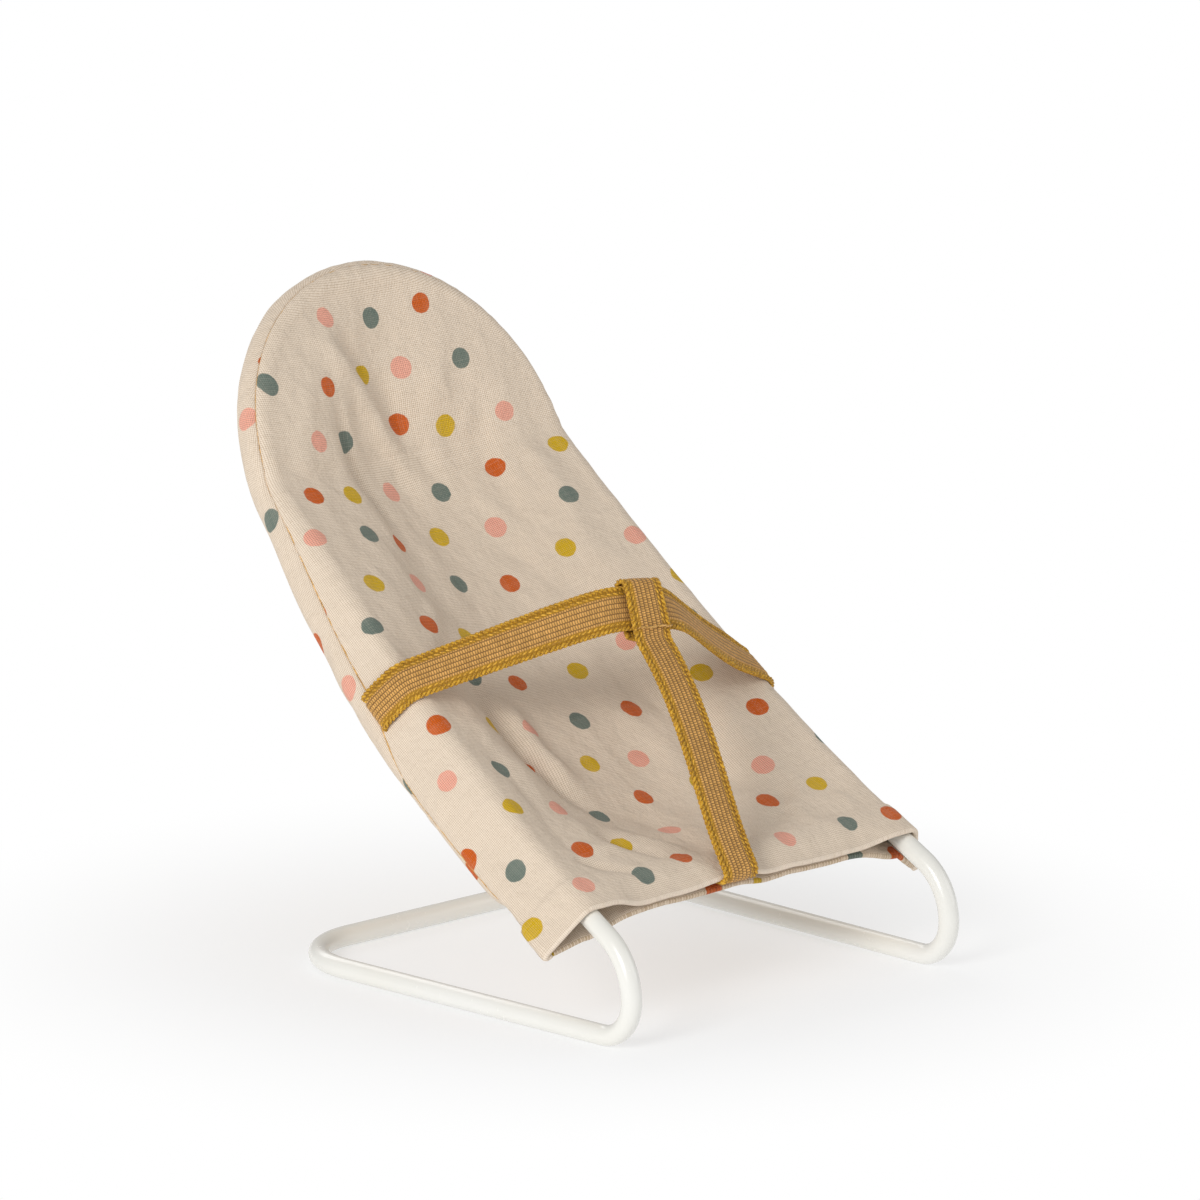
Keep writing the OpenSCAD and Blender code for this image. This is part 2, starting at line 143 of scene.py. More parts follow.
class SeatColours(bpy.types.PropertyGroup):
    """Colours of the finishes, as linear values."""
    wire: colour("Wire", "Powder coat of the wire", 0.82, 0.815, 0.78)
    cotton: colour("Cotton", "Unbleached cotton", 0.80, 0.685, 0.562)
    rust: colour("Rust", "First spot colour", 0.66, 0.115, 0.004)
    mustard: colour("Mustard", "Second spot colour", 0.70, 0.44, 0.006)
    pink: colour("Pink", "Third spot colour", 0.90, 0.42, 0.31)
    sage: colour("Sage", "Fourth spot colour", 0.165, 0.21, 0.175)
    tape: colour("Tape", "Ribbed middle of the webbing", 0.58, 0.31, 0.075)
    cord: colour("Cord", "Thick outer cords of the webbing", 0.62, 0.34, 0.016)
    chain: colour("Chain", "Inner cords of the webbing", 0.74, 0.41, 0.03)
    thread: colour("Thread", "Sewing thread of the seams", 0.72, 0.42, 0.11)
    floor: colour("Floor", "Studio floor", 0.93, 0.93, 0.93)


# ---------------------------------------------------------------- small helpers
def smooth(x):
    x = np.clip(x, 0, 1)
    return x * x * (3 - 2 * x)


def ramp(x, low, high):
    return smooth((x - low) / (high - low))


def mix(a, b, share):
    return a + (b - a) * share


def hill(x, at, half):
    """A smooth rise to 1 at one place, that has fallen to 0.37 at half on both sides of it."""
    return np.exp(-((x - at) / half) ** 2)


def unit(v):
    return v / np.linalg.norm(v, axis=-1, keepdims=True)


def bezier(a, b, c, d, t):
    return a * (1 - t) ** 3 + b * 3 * t * (1 - t) ** 2 + c * 3 * t * t * (1 - t) + d * t ** 3


def wrinkle(points, scale, seed):
    """Even noise from -1 to 1 at each point, for points of two or three numbers."""
    flat = points.reshape(-1, points.shape[-1]) * scale
    values = [noise.noise(Vector((*p[:2], seed))) for p in flat]
    return np.array(values).reshape(points.shape[:-1])


def settings(name):
    return getattr(bpy.context.scene, "bouncer_" + name)


# ---------------------------------------------------------------- the seat's shape
class SeatShape:
    """The wire's line and the cover's surfaces, as arrays of points at distances along the wire."""

    LOOSE = (63 * MM, 131 * MM)        # the cover tightens between waist and chest
    MOUTH = (8 * MM, 27 * MM)          # the corners of the mouth flare over this stretch
    TUCK = (14 * MM, 27 * MM)          # room for the strap's end closes over this stretch
    LAP = (7 * MM, 36 * MM)            # the hollow of the seat deepens over this stretch
    NAPE = (96 * MM, 156 * MM)         # and turns into that of the head over this one
    HEAD_SEAM = 0.3 * MM
    SEAM_UP = (-2.6 * MM, 2.8 * MM)    # how far up the outside the seam is, at the mouth and behind it
    SEAM_RISE = (48 * MM, 74 * MM)
    TIGHT = 1.6 * MM                   # how much closer the right corner of the mouth is drawn to the wire
    WRAP_FROM = math.radians(150)
    FIELD_REACH, FIELD_EASE = 0.6, 0.4  # how the head's rows run up the middle line
    HEM_STEP = (-0.8 * MM, 0.4 * MM)   # the hem's second layer ends over this stretch
    BACK_STARTS = (8 * MM, 15 * MM)    # from the rail to the back panel's hanging part, tight and loose
    STRAP_ROOM, STRAP_HALF = 1.5 * MM, 9 * MM
    STRAP_ROOM_LEAST = 0.1
    CLIMB_REACH = 0.4

    def __init__(self):
        w, c = settings("wire"), settings("cover")
        self.w, self.c = w, c
        self.radius = w.diameter / 2
        self.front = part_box("base_wire")[0].y + self.radius
        self.loop_turn = math.pi / 2 - w.seat_slope
        self.loop_z = self.radius + w.loop_low
        neck_turn = w.recline - w.seat_slope - w.thigh_turn - w.back_turn
        self.stretches = [(w.thigh_length, w.thigh_turn), (w.back_length, w.back_turn),
                          (w.neck_radius * neck_turn, neck_turn)]
        self.rail = sum(size for size, _ in self.stretches)
        end_x, end_z, _ = self.profile(np.array([self.rail]))
        self.base_yaw = math.atan((w.rear_width - w.front_width) / 2 / w.base_depth)
        self.yaw = math.asin((w.front_width - w.head_width) / 2 / end_x[0])
        self.lean = math.atan2(math.sin(w.recline), math.cos(w.recline) * math.cos(self.yaw))
        self.inset = math.asin(math.cos(w.recline) * math.sin(self.yaw))
        self.arch_r = w.head_width / 2 / math.cos(self.inset)
        self.arch_up = np.array([0, math.cos(self.lean), math.sin(self.lean)])
        self.arch_normal = np.array([0, -math.sin(self.lean), math.cos(self.lean)])
        end = np.array([0, self.front + end_x[0] * math.cos(self.yaw), end_z[0]])
        self.arch_centre = end - self.arch_up * self.arch_r * math.sin(self.inset)
        self.reach = self.rail + self.arch_r * (math.pi / 2 - self.inset)

    def profile(self, s):
        """Distance back, height and slope of the rails."""
        x = np.full_like(s, self.w.loop_high * (1 - math.cos(self.loop_turn)))
        z = np.full_like(s, self.loop_z + self.w.loop_high * math.sin(self.loop_turn))
        heading, left = self.w.seat_slope, s
        slope = np.full_like(s, heading)
        for size, turn in self.stretches:
            radius = size / turn
            part = np.clip(left, 0, size) / radius
            x += radius * (np.sin(heading + part) - math.sin(heading))
            z += radius * (math.cos(heading) - np.cos(heading + part))
            slope += part
            heading += turn
            left = left - size
        return x, z, slope

    def stations(self, s):
        """Wire centre, inward, out of the seat, partner on the middle line, and both on the flat cloth."""
        s = np.asarray(s, float)
        x, z, slope = self.profile(np.minimum(s, self.rail))
        none = np.zeros_like(s)
        centre = np.stack([self.w.front_width / 2 - x * math.sin(self.yaw),
                           self.front + x * math.cos(self.yaw), z], -1)
        inward = np.stack([none - math.cos(self.yaw), none - math.sin(self.yaw), none], -1)
        out = np.stack([math.sin(self.yaw) * np.sin(slope), -math.cos(self.yaw) * np.sin(slope),
                        np.cos(slope)], -1)
        partner = centre * [0, 1, 1]
        flat = np.stack([centre[:, 0], s], -1)
        flat_middle = np.stack([none, s], -1)
        turn = self.inset + np.maximum(s - self.rail, 0) / self.arch_r
        ring = np.cos(turn)[:, None] * X_AXIS + np.sin(turn)[:, None] * self.arch_up
        rise = mix(math.sin(self.inset), self.FIELD_REACH,
                   mix(np.sin(turn), smooth(turn / (math.pi / 2)), self.FIELD_EASE))
        base = self.rail - self.arch_r * math.sin(self.inset)
        arch = (self.arch_centre + ring * self.arch_r, -ring, np.broadcast_to(self.arch_normal, ring.shape),
                self.arch_centre + self.arch_up * self.arch_r * rise[:, None],
                np.stack([self.arch_r * np.cos(turn), base + self.arch_r * np.sin(turn)], -1),
                np.stack([none, base + self.arch_r * rise], -1))
        on_arch = (s > self.rail)[:, None]
        rails = (centre, inward, out, partner, flat, flat_middle)
        return [np.where(on_arch, a, b) for a, b in zip(arch, rails)]

    # how the cover lies at each distance along the wire
    def loose(self, s):
        return 1 - ramp(s, *self.LOOSE)

    def near_mouth(self, s):
        return 1 - ramp(s, *self.MOUTH)

    def layers(self, s):
        """Room that the cotton takes: two layers in the hem, one behind it."""
        hem_end = self.c.mouth + self.c.hem
        return self.c.cloth * (2 - ramp(s, hem_end + self.HEM_STEP[0], hem_end + self.HEM_STEP[1]))

    def skin(self, s):
        return self.radius + self.c.gap + self.layers(s) / 2

    def flare(self, s):
        return self.skin(s) + self.c.side_flare * self.loose(s) + self.c.corner_flare * self.near_mouth(s)

    def seam_depth(self, s):
        return mix(self.HEAD_SEAM, self.c.seam_drop, self.loose(s))

    def seam_up(self, s):
        return mix(*self.SEAM_UP, ramp(s, *self.SEAM_RISE))

    def drop(self, s, hand=-1):
        hang = mix(self.c.head_drop, self.c.side_drop, self.loose(s))
        short = self.c.side_drop - self.c.mouth_drop + (self.TIGHT if hand > 0 else 0)
        return hang - short * self.near_mouth(s)

    def sag(self, s):
        hollow = mix(self.c.seat_sag, self.c.head_sag, ramp(s, *self.NAPE))
        return mix(-self.skin(s), hollow, ramp(s, *self.LAP))

    def middle(self, s):
        _, _, out, partner, _, _ = self.stations(s)
        return partner - unit(out * [0, 1, 1]) * self.sag(np.asarray(s, float))[:, None]

    def section(self, s, points):
        """Points [inward, out of the seat] about the wire, set in space."""
        centre, inward, out = self.stations(s)[:3]
        return (centre[:, None] + inward[:, None] * points[..., :1] + out[:, None] * points[..., 1:])

    def drape(self, s, radius, share, extra=0.0):
        """The front panel's fall from the wire (share 1) to the side seam (share 0)."""
        top = radius[:, None] * [math.cos(self.WRAP_FROM), math.sin(self.WRAP_FROM)]
        seam = np.stack([-self.flare(s) - extra, -self.seam_depth(s)], -1)
        fall = np.linalg.norm(seam - top, axis=-1)[:, None] / 2
        knee = top + fall * [-math.sin(self.WRAP_FROM), math.cos(self.WRAP_FROM)]
        f = share[None, :, None]
        return mix(mix(seam[:, None], knee[:, None], f), mix(knee[:, None], top[:, None], f), f)

    def field(self, s, share):
        """The hanging cloth from its lift off the wire (share 0) to the middle line (share 1)."""
        s = np.asarray(s, float)
        centre, _, out, partner, flat, flat_middle = self.stations(s)
        span = np.linalg.norm(partner - centre, axis=-1)
        radius = self.skin(s)
        dip = radius + self.sag(s)
        lead = np.arctan(2 * dip / span)
        edge = self.section(s, (radius[:, None] * np.stack([np.sin(lead), np.cos(lead)], -1))[:, None])
        share = np.broadcast_to(share, (len(s), np.shape(share)[-1]))[..., None]
        hang = (dip[:, None, None] * share * (1 - share)) * out[:, None]
        sheet = mix(edge, self.middle(s)[:, None], share) - hang
        start = flat + (flat_middle - flat) * (radius * lead / span)[:, None]
        return sheet, mix(start[:, None], flat_middle[:, None], share), lead, span

    def outside(self, s, hand, turn=12, drape=14, wrap=9):
        """The cotton's way from its lowest point, up the side and round the wire to where it leaves it."""
        a = np.linspace(math.pi / 2, 0, turn + 1)[None]
        fall = mix(np.sin(a), 1 - np.cos(a), self.near_mouth(s)[:, None])
        start = -self.seam_depth(s) - self.layers(s)
        depth = (self.drop(s, hand) + start)[:, None]
        below = np.stack([-self.flare(s)[:, None] * np.cos(a), start[:, None] - depth * fall], -1)
        rise = self.section(s, below)
        radius = self.skin(s)
        side = self.section(s, self.drape(s, radius, np.linspace(0, 1, drape + 1)[:-1]))
        touch, _, lead, _ = self.field(s, np.zeros((1, 1)))
        around = mix(self.WRAP_FROM, math.pi / 2 - lead[:, None], np.linspace(0, 1, wrap + 1)[None, :-1])
        over = self.section(s, radius[:, None, None] * np.stack([np.cos(around), np.sin(around)], -1))
        way = np.concatenate([rise, side, over, touch], 1)
        seam = np.linalg.norm(np.diff(way[:, :turn + 2], axis=1), axis=-1).sum(1) + self.seam_up(s)
        return way, seam

    def front_sheet(self, s, hand=-1, rim=30, field=38):
        """Points and flat places of the front panel, from the side seam to the middle line."""
        sheet, flat, _, _ = self.field(s, np.linspace(0, 1, field + 1)[None])
        way, seam = self.outside(s, hand)
        outer = self.resample(way, seam, np.full(len(s), np.inf), rim)
        return np.concatenate([outer[:, :-1], sheet], 1), self.unroll(outer, flat)

    def back_sheet(self, s, hand=-1, turn=16, rise=12, under=34):
        """The same for the back panel, which turns under at the side and rises to the front panel."""
        centre, _, out, partner, _, _ = self.stations(s)
        span = np.linalg.norm(partner - centre, axis=-1)
        part = mix(*self.BACK_STARTS, self.loose(s)) / span
        share = part[:, None] + (1 - part[:, None]) * np.linspace(0, 1, under + 1)[None]
        sheet, flat, _, _ = self.field(s, share)
        strap = hill(hand * sheet[..., 0], -settings("harness").shift, self.STRAP_HALF)
        slack = self.STRAP_ROOM * (1 - ramp(s, *self.TUCK))[:, None] * mix(self.STRAP_ROOM_LEAST, 1, strap)
        room = (self.layers(s) + self.c.layer_gap)[:, None] + slack
        sheet = sheet - out[:, None] * room[..., None]
        way, seam = self.outside(s, hand)
        round_under = self.resample(way, np.zeros(len(s)), seam, turn)[:, ::-1]
        low, touch = round_under[:, -1:], sheet[:, :1]
        reach = np.linalg.norm(touch - low, axis=-1, keepdims=True) * self.CLIMB_REACH
        way = unit(partner - centre)[:, None]
        f = np.linspace(0, 1, rise + 1)[None, 1:-1, None]
        ahead = unit(sheet[:, 1:2] - touch)
        climb = bezier(low, low + way * reach, touch - ahead * reach, touch, f)
        outer = np.concatenate([round_under, climb, touch], 1)
        return np.concatenate([outer[:, :-1], sheet], 1), self.unroll(outer, flat)

    @staticmethod
    def resample(rows, start, stop, count):
        """Points along each row at even steps between two distances from its first point."""
        result = []
        for row, low, high in zip(rows, start, stop):
            at = np.concatenate([[0], np.cumsum(np.linalg.norm(np.diff(row, axis=0), axis=1))])
            wanted = np.linspace(low, min(high, at[-1]), count + 1)
            result.append(np.stack([np.interp(wanted, at, column) for column in row.T], -1))
        return np.array(result)

    @staticmethod
    def unroll(outer, flat):
        """Lays the cloth outside the field flat, at its true distances from the field's edge."""
        steps = np.linalg.norm(np.diff(outer, axis=1), axis=-1)
        away = np.cumsum(steps[:, ::-1], 1)[:, ::-1]
        outward = unit(flat[:, 0] - flat[:, 1])
        return np.concatenate([flat[:, :1] + outward[:, None] * away[..., None], flat], 1)


# ---------------------------------------------------------------- meshes
def finished(name, mesh, materials, body=None):
    """Links a mesh as a smooth-shaded piece that rides on a body."""
    for material in materials:
        mesh.materials.append(material)
    piece = bpy.data.objects.new(name, mesh)
    bpy.context.scene.collection.objects.link(piece)
    mesh.shade_smooth()
    if body:
        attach(piece, body)
    return piece


def mesh_from(bm, name):
    mesh = bpy.data.meshes.new(name)
    bm.to_mesh(mesh)
    bm.free()
    return mesh


def sheet_bmesh(points, flat):
    """A grid of the points' rows and columns, with its place on the flat cloth as a UV map."""
    rows, columns = points.shape[:2]
    bm = bmesh.new()
    bmesh.ops.create_grid(bm, x_segments=columns - 1, y_segments=rows - 1, size=0.5)
    cloth = bm.loops.layers.uv.new("Cloth")
    for vert in bm.verts:
        c = round((vert.co.x + 0.5) * (columns - 1))
        r = round((vert.co.y + 0.5) * (rows - 1))
        vert.index = r * columns + c
    places = [(vert, divmod(vert.index, columns)) for vert in bm.verts]
    for face in bm.faces:
        for loop in face.loops:
            loop[cloth].uv = flat[divmod(loop.vert.index, columns)]
    for vert, (r, c) in places:
        vert.co = points[r, c]
    return bm


def tube_mesh(name, routes, radius, sides=1):
    """One mesh of round strands, each along its own list of points; ends are capped."""
    curve = bpy.data.curves.new(name, "CURVE")
    curve.dimensions = "3D"
    curve.bevel_depth = radius
    curve.bevel_resolution = sides
    curve.use_fill_caps = True
    for route in routes:
        spline = curve.splines.new("POLY")
        spline.points.add(len(route) - 1)
        spline.points.foreach_set("co", np.column_stack([route, np.ones(len(route))]).ravel())
        spline.use_smooth = True
    holder = bpy.data.objects.new(name, curve)
    mesh = bpy.data.meshes.new_from_object(holder)
    bpy.data.objects.remove(holder)
    bpy.data.curves.remove(curve)
    return mesh


class Bar:
    """A round bar bent step by step: it keeps its end ring, its place and its heading."""

    STEP = math.radians(4)

    def __init__(self, place, heading, radius, sides=24):
        self.bm = bmesh.new()
        self.place, self.heading = Vector(place), Vector(heading)
        turn = self.heading.to_track_quat("Z", "Y").to_matrix().to_4x4()
        bmesh.ops.create_circle(self.bm, segments=sides, radius=radius,
                                matrix=Matrix.Translation(self.place) @ turn)
        self.ring = self.bm.edges[:]

    def straight(self, size, steps=8):
        for _ in range(steps):
            made = bmesh.ops.extrude_edge_only(self.bm, edges=self.ring)["geom"]
            ring = [g for g in made if isinstance(g, bmesh.types.BMVert)]
            bmesh.ops.translate(self.bm, verts=ring, vec=self.heading * size / steps)
            self.ring = [g for g in made if isinstance(g, bmesh.types.BMEdge)
                         and all(v in ring for v in g.verts)]
        self.place += self.heading * size

    def bend(self, radius, turn, axis):
        """Turns the heading about the axis, whose centre lies at axis x heading."""
        axis = Vector(axis).normalized()
        centre = self.place + axis.cross(self.heading) * radius
        made = bmesh.ops.spin(self.bm, geom=self.ring, cent=centre, axis=axis, angle=turn,
                              steps=max(4, math.ceil(turn / self.STEP)), use_merge=False)
        self.ring = [g for g in made["geom_last"] if isinstance(g, bmesh.types.BMEdge)]
        swing = Matrix.Rotation(turn, 3, axis)
        self.place = centre + swing @ (self.place - centre)
        self.heading = swing @ self.heading


# ---------------------------------------------------------------- node helpers
class Nodes:
    """Short ways to add and join the nodes of one tree."""

    def __init__(self, tree):
        self.tree = tree

    def add(self, kind, inputs=None, **attributes):
        node = self.tree.nodes.new(kind)
        for key, value in attributes.items():
            setattr(node, key, value)
        for key, value in (inputs or {}).items():
            self.put(node.inputs[key], value)
        return node

    def put(self, socket, value):
        if isinstance(value, bpy.types.NodeSocket):
            self.tree.links.new(value, socket)
        else:
            socket.default_value = value

    def grouped(self, tree, **inputs):
        """A copy of a node group with its named inputs set."""
        return self.add("ShaderNodeGroup", inputs, node_tree=tree)

    def math(self, operation, a, b=0.0, c=0.0):
        return self.add("ShaderNodeMath", {0: a, 1: b, 2: c}, operation=operation).outputs[0]

    def blend(self, share, a, b):
        """Colour a where the share is 0, and colour b where it is 1."""
        node = self.add("ShaderNodeMix", {0: share}, data_type="RGBA")
        self.put(node.inputs[6], a)
        self.put(node.inputs[7], b)
        return node.outputs[2]

    def spread(self, value, low, high, to_low=0.0, to_high=1.0):
        """Turns low to high into to_low to to_high, with soft ends."""
        inputs = {"Value": value, "From Min": low, "From Max": high, "To Min": to_low, "To Max": to_high}
        return self.add("ShaderNodeMapRange", inputs, interpolation_type="SMOOTHSTEP").outputs["Result"]

    def scaled(self, vector, factors):
        return self.add("ShaderNodeVectorMath", {0: vector, 1: factors}, operation="MULTIPLY").outputs[0]

    def shaken(self, place, scale, size):
        """The place moved about by noise, so that edges come out uneven."""
        wobble = self.add("ShaderNodeTexNoise", {"Vector": place, "Scale": scale, "Detail": 1.0},
                          noise_dimensions="2D").outputs["Color"]
        centred = self.add("ShaderNodeVectorMath", {0: wobble, 1: (0.5, 0.5, 0.5)}, operation="SUBTRACT")
        inputs = {0: centred.outputs[0], 1: (size, size, size), 2: place}
        return self.add("ShaderNodeVectorMath", inputs, operation="MULTIPLY_ADD").outputs[0]

    def chance(self, value):
        """A random share that is the same wherever the value is the same."""
        return self.add("ShaderNodeTexWhiteNoise", {"W": value}, noise_dimensions="1D").outputs["Value"]

    def noise(self, vector, scale, detail=2.0, rough=0.5, dimensions="3D"):
        inputs = {"Vector": vector, "Scale": scale, "Detail": detail, "Roughness": rough}
        return self.add("ShaderNodeTexNoise", inputs, noise_dimensions=dimensions).outputs["Fac"]

    def length(self, vector):
        return self.add("ShaderNodeVectorMath", {0: vector}, operation="LENGTH").outputs["Value"]

    def bump(self, height, strength, distance, **normal):
        return self.add("ShaderNodeBump", {"Height": height, "Strength": strength, "Distance": distance,
                                           **normal}).outputs[0]


def group(name, inputs, outputs, build):
    """A node group with named sockets, built once."""
    if name in bpy.data.node_groups:
        return bpy.data.node_groups[name]
    tree = bpy.data.node_groups.new(name, "ShaderNodeTree")
    for title, kind, default in inputs:
        socket = tree.interface.new_socket(title, in_out="INPUT", socket_type=kind)
        if default is not None:
            socket.default_value = default
    for title, kind in outputs:
        tree.interface.new_socket(title, in_out="OUTPUT", socket_type=kind)
    nodes = Nodes(tree)
    entry = nodes.add("NodeGroupInput")
    leave = nodes.add("NodeGroupOutput")
    for title, socket in build(nodes, entry.outputs).items():
        nodes.put(leave.inputs[title], socket)
    return tree


FLOAT, VECTOR = "NodeSocketFloat", "NodeSocketVector"


THREAD_DIP = 0.45                  # how far a thread dips where the other one crosses it
ROW_STEP = 0.86                    # from row to row of spots, as a share of their spacing
STRAY = (0.32, 0.30)               # how far a spot may lie out of its place, across and along
SIZE_SPREAD = 0.06                 # how much spots differ in radius, as a share of the diameter
SPOT_EDGE = (-0.10 * MM, 0.12 * MM)
SPOT_COLOURS = 4
SLUB_SCALE = (1500.0, 60.0)        # across and along a yarn


def build_weave(n, entry):
    """Plain weave: each thread goes over one and under the next."""
    parts = n.add("ShaderNodeSeparateXYZ", {0: entry["Place"]})
    u = n.math("DIVIDE", parts.outputs[0], entry["Pitch"])
    v = n.math("DIVIDE", parts.outputs[1], entry["Pitch"])
    column, row = n.math("FLOOR", u), n.math("FLOOR", v)
    odd = n.math("FLOORED_MODULO", n.math("ADD", column, row), 2.0)
    across = n.math("SINE", n.math("MULTIPLY", n.math("FRACT", u), math.pi))
    along = n.math("SINE", n.math("MULTIPLY", n.math("FRACT", v), math.pi))
    warp_dip, weft_dip = [n.math("MULTIPLY_ADD", wave, THREAD_DIP, 1 - THREAD_DIP)
                          for wave in (along, across)]
    warp = n.math("MULTIPLY", n.math("SQRT", across), warp_dip)
    weft = n.math("MULTIPLY", n.math("SQRT", along), weft_dip)
    height = n.math("MULTIPLY_ADD", odd, n.math("SUBTRACT", weft, warp), warp)
    # the shift keeps a row from taking the tone of the column with its number
    tone_u, tone_v = n.chance(column), n.chance(n.math("ADD", row, 57.3))
    tone = n.math("MULTIPLY_ADD", odd, n.math("SUBTRACT", tone_v, tone_u), tone_u)
    return {"Height": height, "Tone": tone}


def build_slub(n, entry):
    """Thick and thin places in the yarn, long in both directions of the cloth."""
    place = entry["Place"]
    fine, long = SLUB_SCALE
    warp = n.noise(n.scaled(place, (fine, long, 1.0)), 1.0, dimensions="2D")
    weft = n.noise(n.scaled(place, (long, fine, 1.0)), 1.0, dimensions="2D")
    return {"Streak": n.math("MULTIPLY", n.math("ADD", warp, weft), 0.5)}


def build_spots(n, entry):
    """Printed spots in staggered rows, each a little out of place, size and round."""
    place = n.shaken(entry["Place"], 1000.0, 0.22 * MM)
    parts = n.add("ShaderNodeSeparateXYZ", {0: place})
    v = n.math("DIVIDE", parts.outputs[1], n.math("MULTIPLY", entry["Spacing"], ROW_STEP))
    row = n.math("FLOOR", v)
    stagger = n.math("MULTIPLY", n.math("FLOORED_MODULO", row, 2.0), 0.5)
    u = n.math("ADD", n.math("DIVIDE", parts.outputs[0], entry["Spacing"]), stagger)
    column = n.math("FLOOR", u)
    cell = n.add("ShaderNodeCombineXYZ", {0: column, 1: row})
    chance = n.add("ShaderNodeTexWhiteNoise", {"Vector": cell.outputs[0]}, noise_dimensions="2D")
    dice = n.add("ShaderNodeSeparateColor", {0: chance.outputs["Color"]})
    spot_u, spot_v = [n.math("MULTIPLY_ADD", roll, stray, 0.5 - stray / 2)
                      for roll, stray in zip((dice.outputs[0], dice.outputs[1]), STRAY)]
    off_u = n.math("SUBTRACT", n.math("FRACT", u), spot_u)
    off_v = n.math("SUBTRACT", n.math("FRACT", v), spot_v)
    offset = n.add("ShaderNodeCombineXYZ", {0: off_u, 1: n.math("MULTIPLY", off_v, ROW_STEP)})
    away = n.length(offset.outputs[0])
    share = n.math("MULTIPLY_ADD", dice.outputs[2], SIZE_SPREAD, 0.5 - SIZE_SPREAD / 2)
    radius = n.math("MULTIPLY", entry["Diameter"], share)
    edge = n.math("SUBTRACT", radius, n.math("MULTIPLY", away, entry["Spacing"]))
    # each row starts one or two colours further on, so that no two neighbours are alike
    order = n.math("ADD", column, n.math("FLOOR", n.math("MULTIPLY", row, 1.5)))
    return {"Mask": n.spread(edge, *SPOT_EDGE), "Pick": n.math("FLOORED_MODULO", order, SPOT_COLOURS)}


def build_wear(n, entry):
    """Small dull specks and rubbed places on a coating."""
    broad = n.spread(n.noise(entry["Place"], 90.0, 3.0), 0.55, 0.72)
    fine = n.spread(n.noise(entry["Place"], 900.0, 2.0), 0.62, 0.75)
    return {"Rub": n.math("MULTIPLY", broad, fine), "Cloud": n.noise(entry["Place"], 28.0, 2.0)}


def build_ribs(n, entry):
    """Weft threads of ribbed webbing, staggered from rib to rib."""
    parts = n.add("ShaderNodeSeparateXYZ", {0: entry["Place"]})
    rib = n.math("FLOOR", n.math("DIVIDE", parts.outputs[0], entry["Rib"]))
    half = n.math("MULTIPLY", n.math("FLOORED_MODULO", rib, 2.0), 0.5)
    along = n.math("ADD", n.math("DIVIDE", parts.outputs[1], entry["Pitch"]), half)
    wave = n.math("SINE", n.math("MULTIPLY", n.math("FRACT", along), math.pi))
    # the factor keeps neighbouring ribs from having the same tones
    tone = n.chance(n.math("ADD", n.math("FLOOR", along), n.math("MULTIPLY", rib, 31.7)))
    across = n.math("FRACT", n.math("DIVIDE", parts.outputs[0], entry["Rib"]))
    crown = n.math("SINE", n.math("MULTIPLY", across, math.pi))
    return {"Height": n.math("SQRT", wave), "Tone": tone, "Crown": crown}


PLACE = ("Place", VECTOR, None)


def weave_group():
    return group("Plain Weave", [PLACE, ("Pitch", FLOAT, 0.0004)],
                 [("Height", FLOAT), ("Tone", FLOAT)], build_weave)


def slub_group():
    return group("Yarn Slub", [PLACE], [("Streak", FLOAT)], build_slub)


def spots_group():
    return group("Printed Spots", [PLACE, ("Spacing", FLOAT, 0.012), ("Diameter", FLOAT, 0.004)],
                 [("Mask", FLOAT), ("Pick", FLOAT)], build_spots)


def wear_group():
    return group("Coat Wear", [PLACE], [("Rub", FLOAT), ("Cloud", FLOAT)], build_wear)


def ribs_group():
    return group("Webbing Ribs", [PLACE, ("Pitch", FLOAT, 0.00025), ("Rib", FLOAT, 0.0007)],
                 [("Height", FLOAT), ("Tone", FLOAT), ("Crown", FLOAT)], build_ribs)


def new_material(name, **sockets):
    """A material with a Principled shader; the keywords set its own sockets."""
    material = bpy.data.materials.new(name)
    material.use_nodes = True
    nodes = Nodes(material.node_tree)
    shader = material.node_tree.nodes["Principled BSDF"]
    for key, value in sockets.items():
        shader.inputs[key.replace("_", " ")].default_value = value
    return material, nodes, shader


def tinted(rgb):
    return (*rgb, 1.0)


def shaded(rgb, factors):
    """A colour made darker or lighter, channel by channel."""
    return tinted([min(1, value * factor) for value, factor in zip(rgb, factors)])


# shades of the finishes, as factors on their colours
COTTON_LIT = (1.06, 1.06, 1.06)
# painted shade for the gaps between the cotton's threads, also the colour of its dark flecks
COTTON_GAP_SHADE_AND_FLECK = (0.60, 0.52, 0.41)
COAT_CLOUD = (0.985, 0.975, 0.945)
# painted shade for the grooves of the tape, and a lighter tone for some of its threads
TAPE_GROOVE_SHADE, TAPE_LIT = (0.26, 0.20, 0.10), (1.34, 1.36, 1.5)
# painted shade on the ground under the edge cords
TAPE_GROUND_SHADE = (0.66, 0.60, 0.5)
# painted shade for the hollows between a yarn's fibres, and a lighter tone
STRAND_HOLLOW_SHADE, STRAND_LIT = (0.48, 0.40, 0.28), (1.22, 1.25, 1.7)
RUBBED = (0.52, 0.50, 0.46, 1)     # what shows where the wire's coating is rubbed
BLACK = (0, 0, 0, 1)

# mixes of the cotton's colours: (low, high) of what steers them, then the least and the most
THREAD_EDGE = (0.20, 0.80)
FLECKS = (0.60, 0.74, 0.0, 0.30)
SLUBS = (0.42, 0.66, 0.0, 0.12)
# the last is painted shade: how far the ink goes towards black between the threads
PALE_THREADS, WORN_INK, INK_GAP_SHADE = 0.6, 0.10, 0.55

# where on the printed cloth each panel is cut
FRONT_CUT, BACK_CUT = (0.2504, 0.1120, 0.0), (0.3367, 0.2213, 0.0)


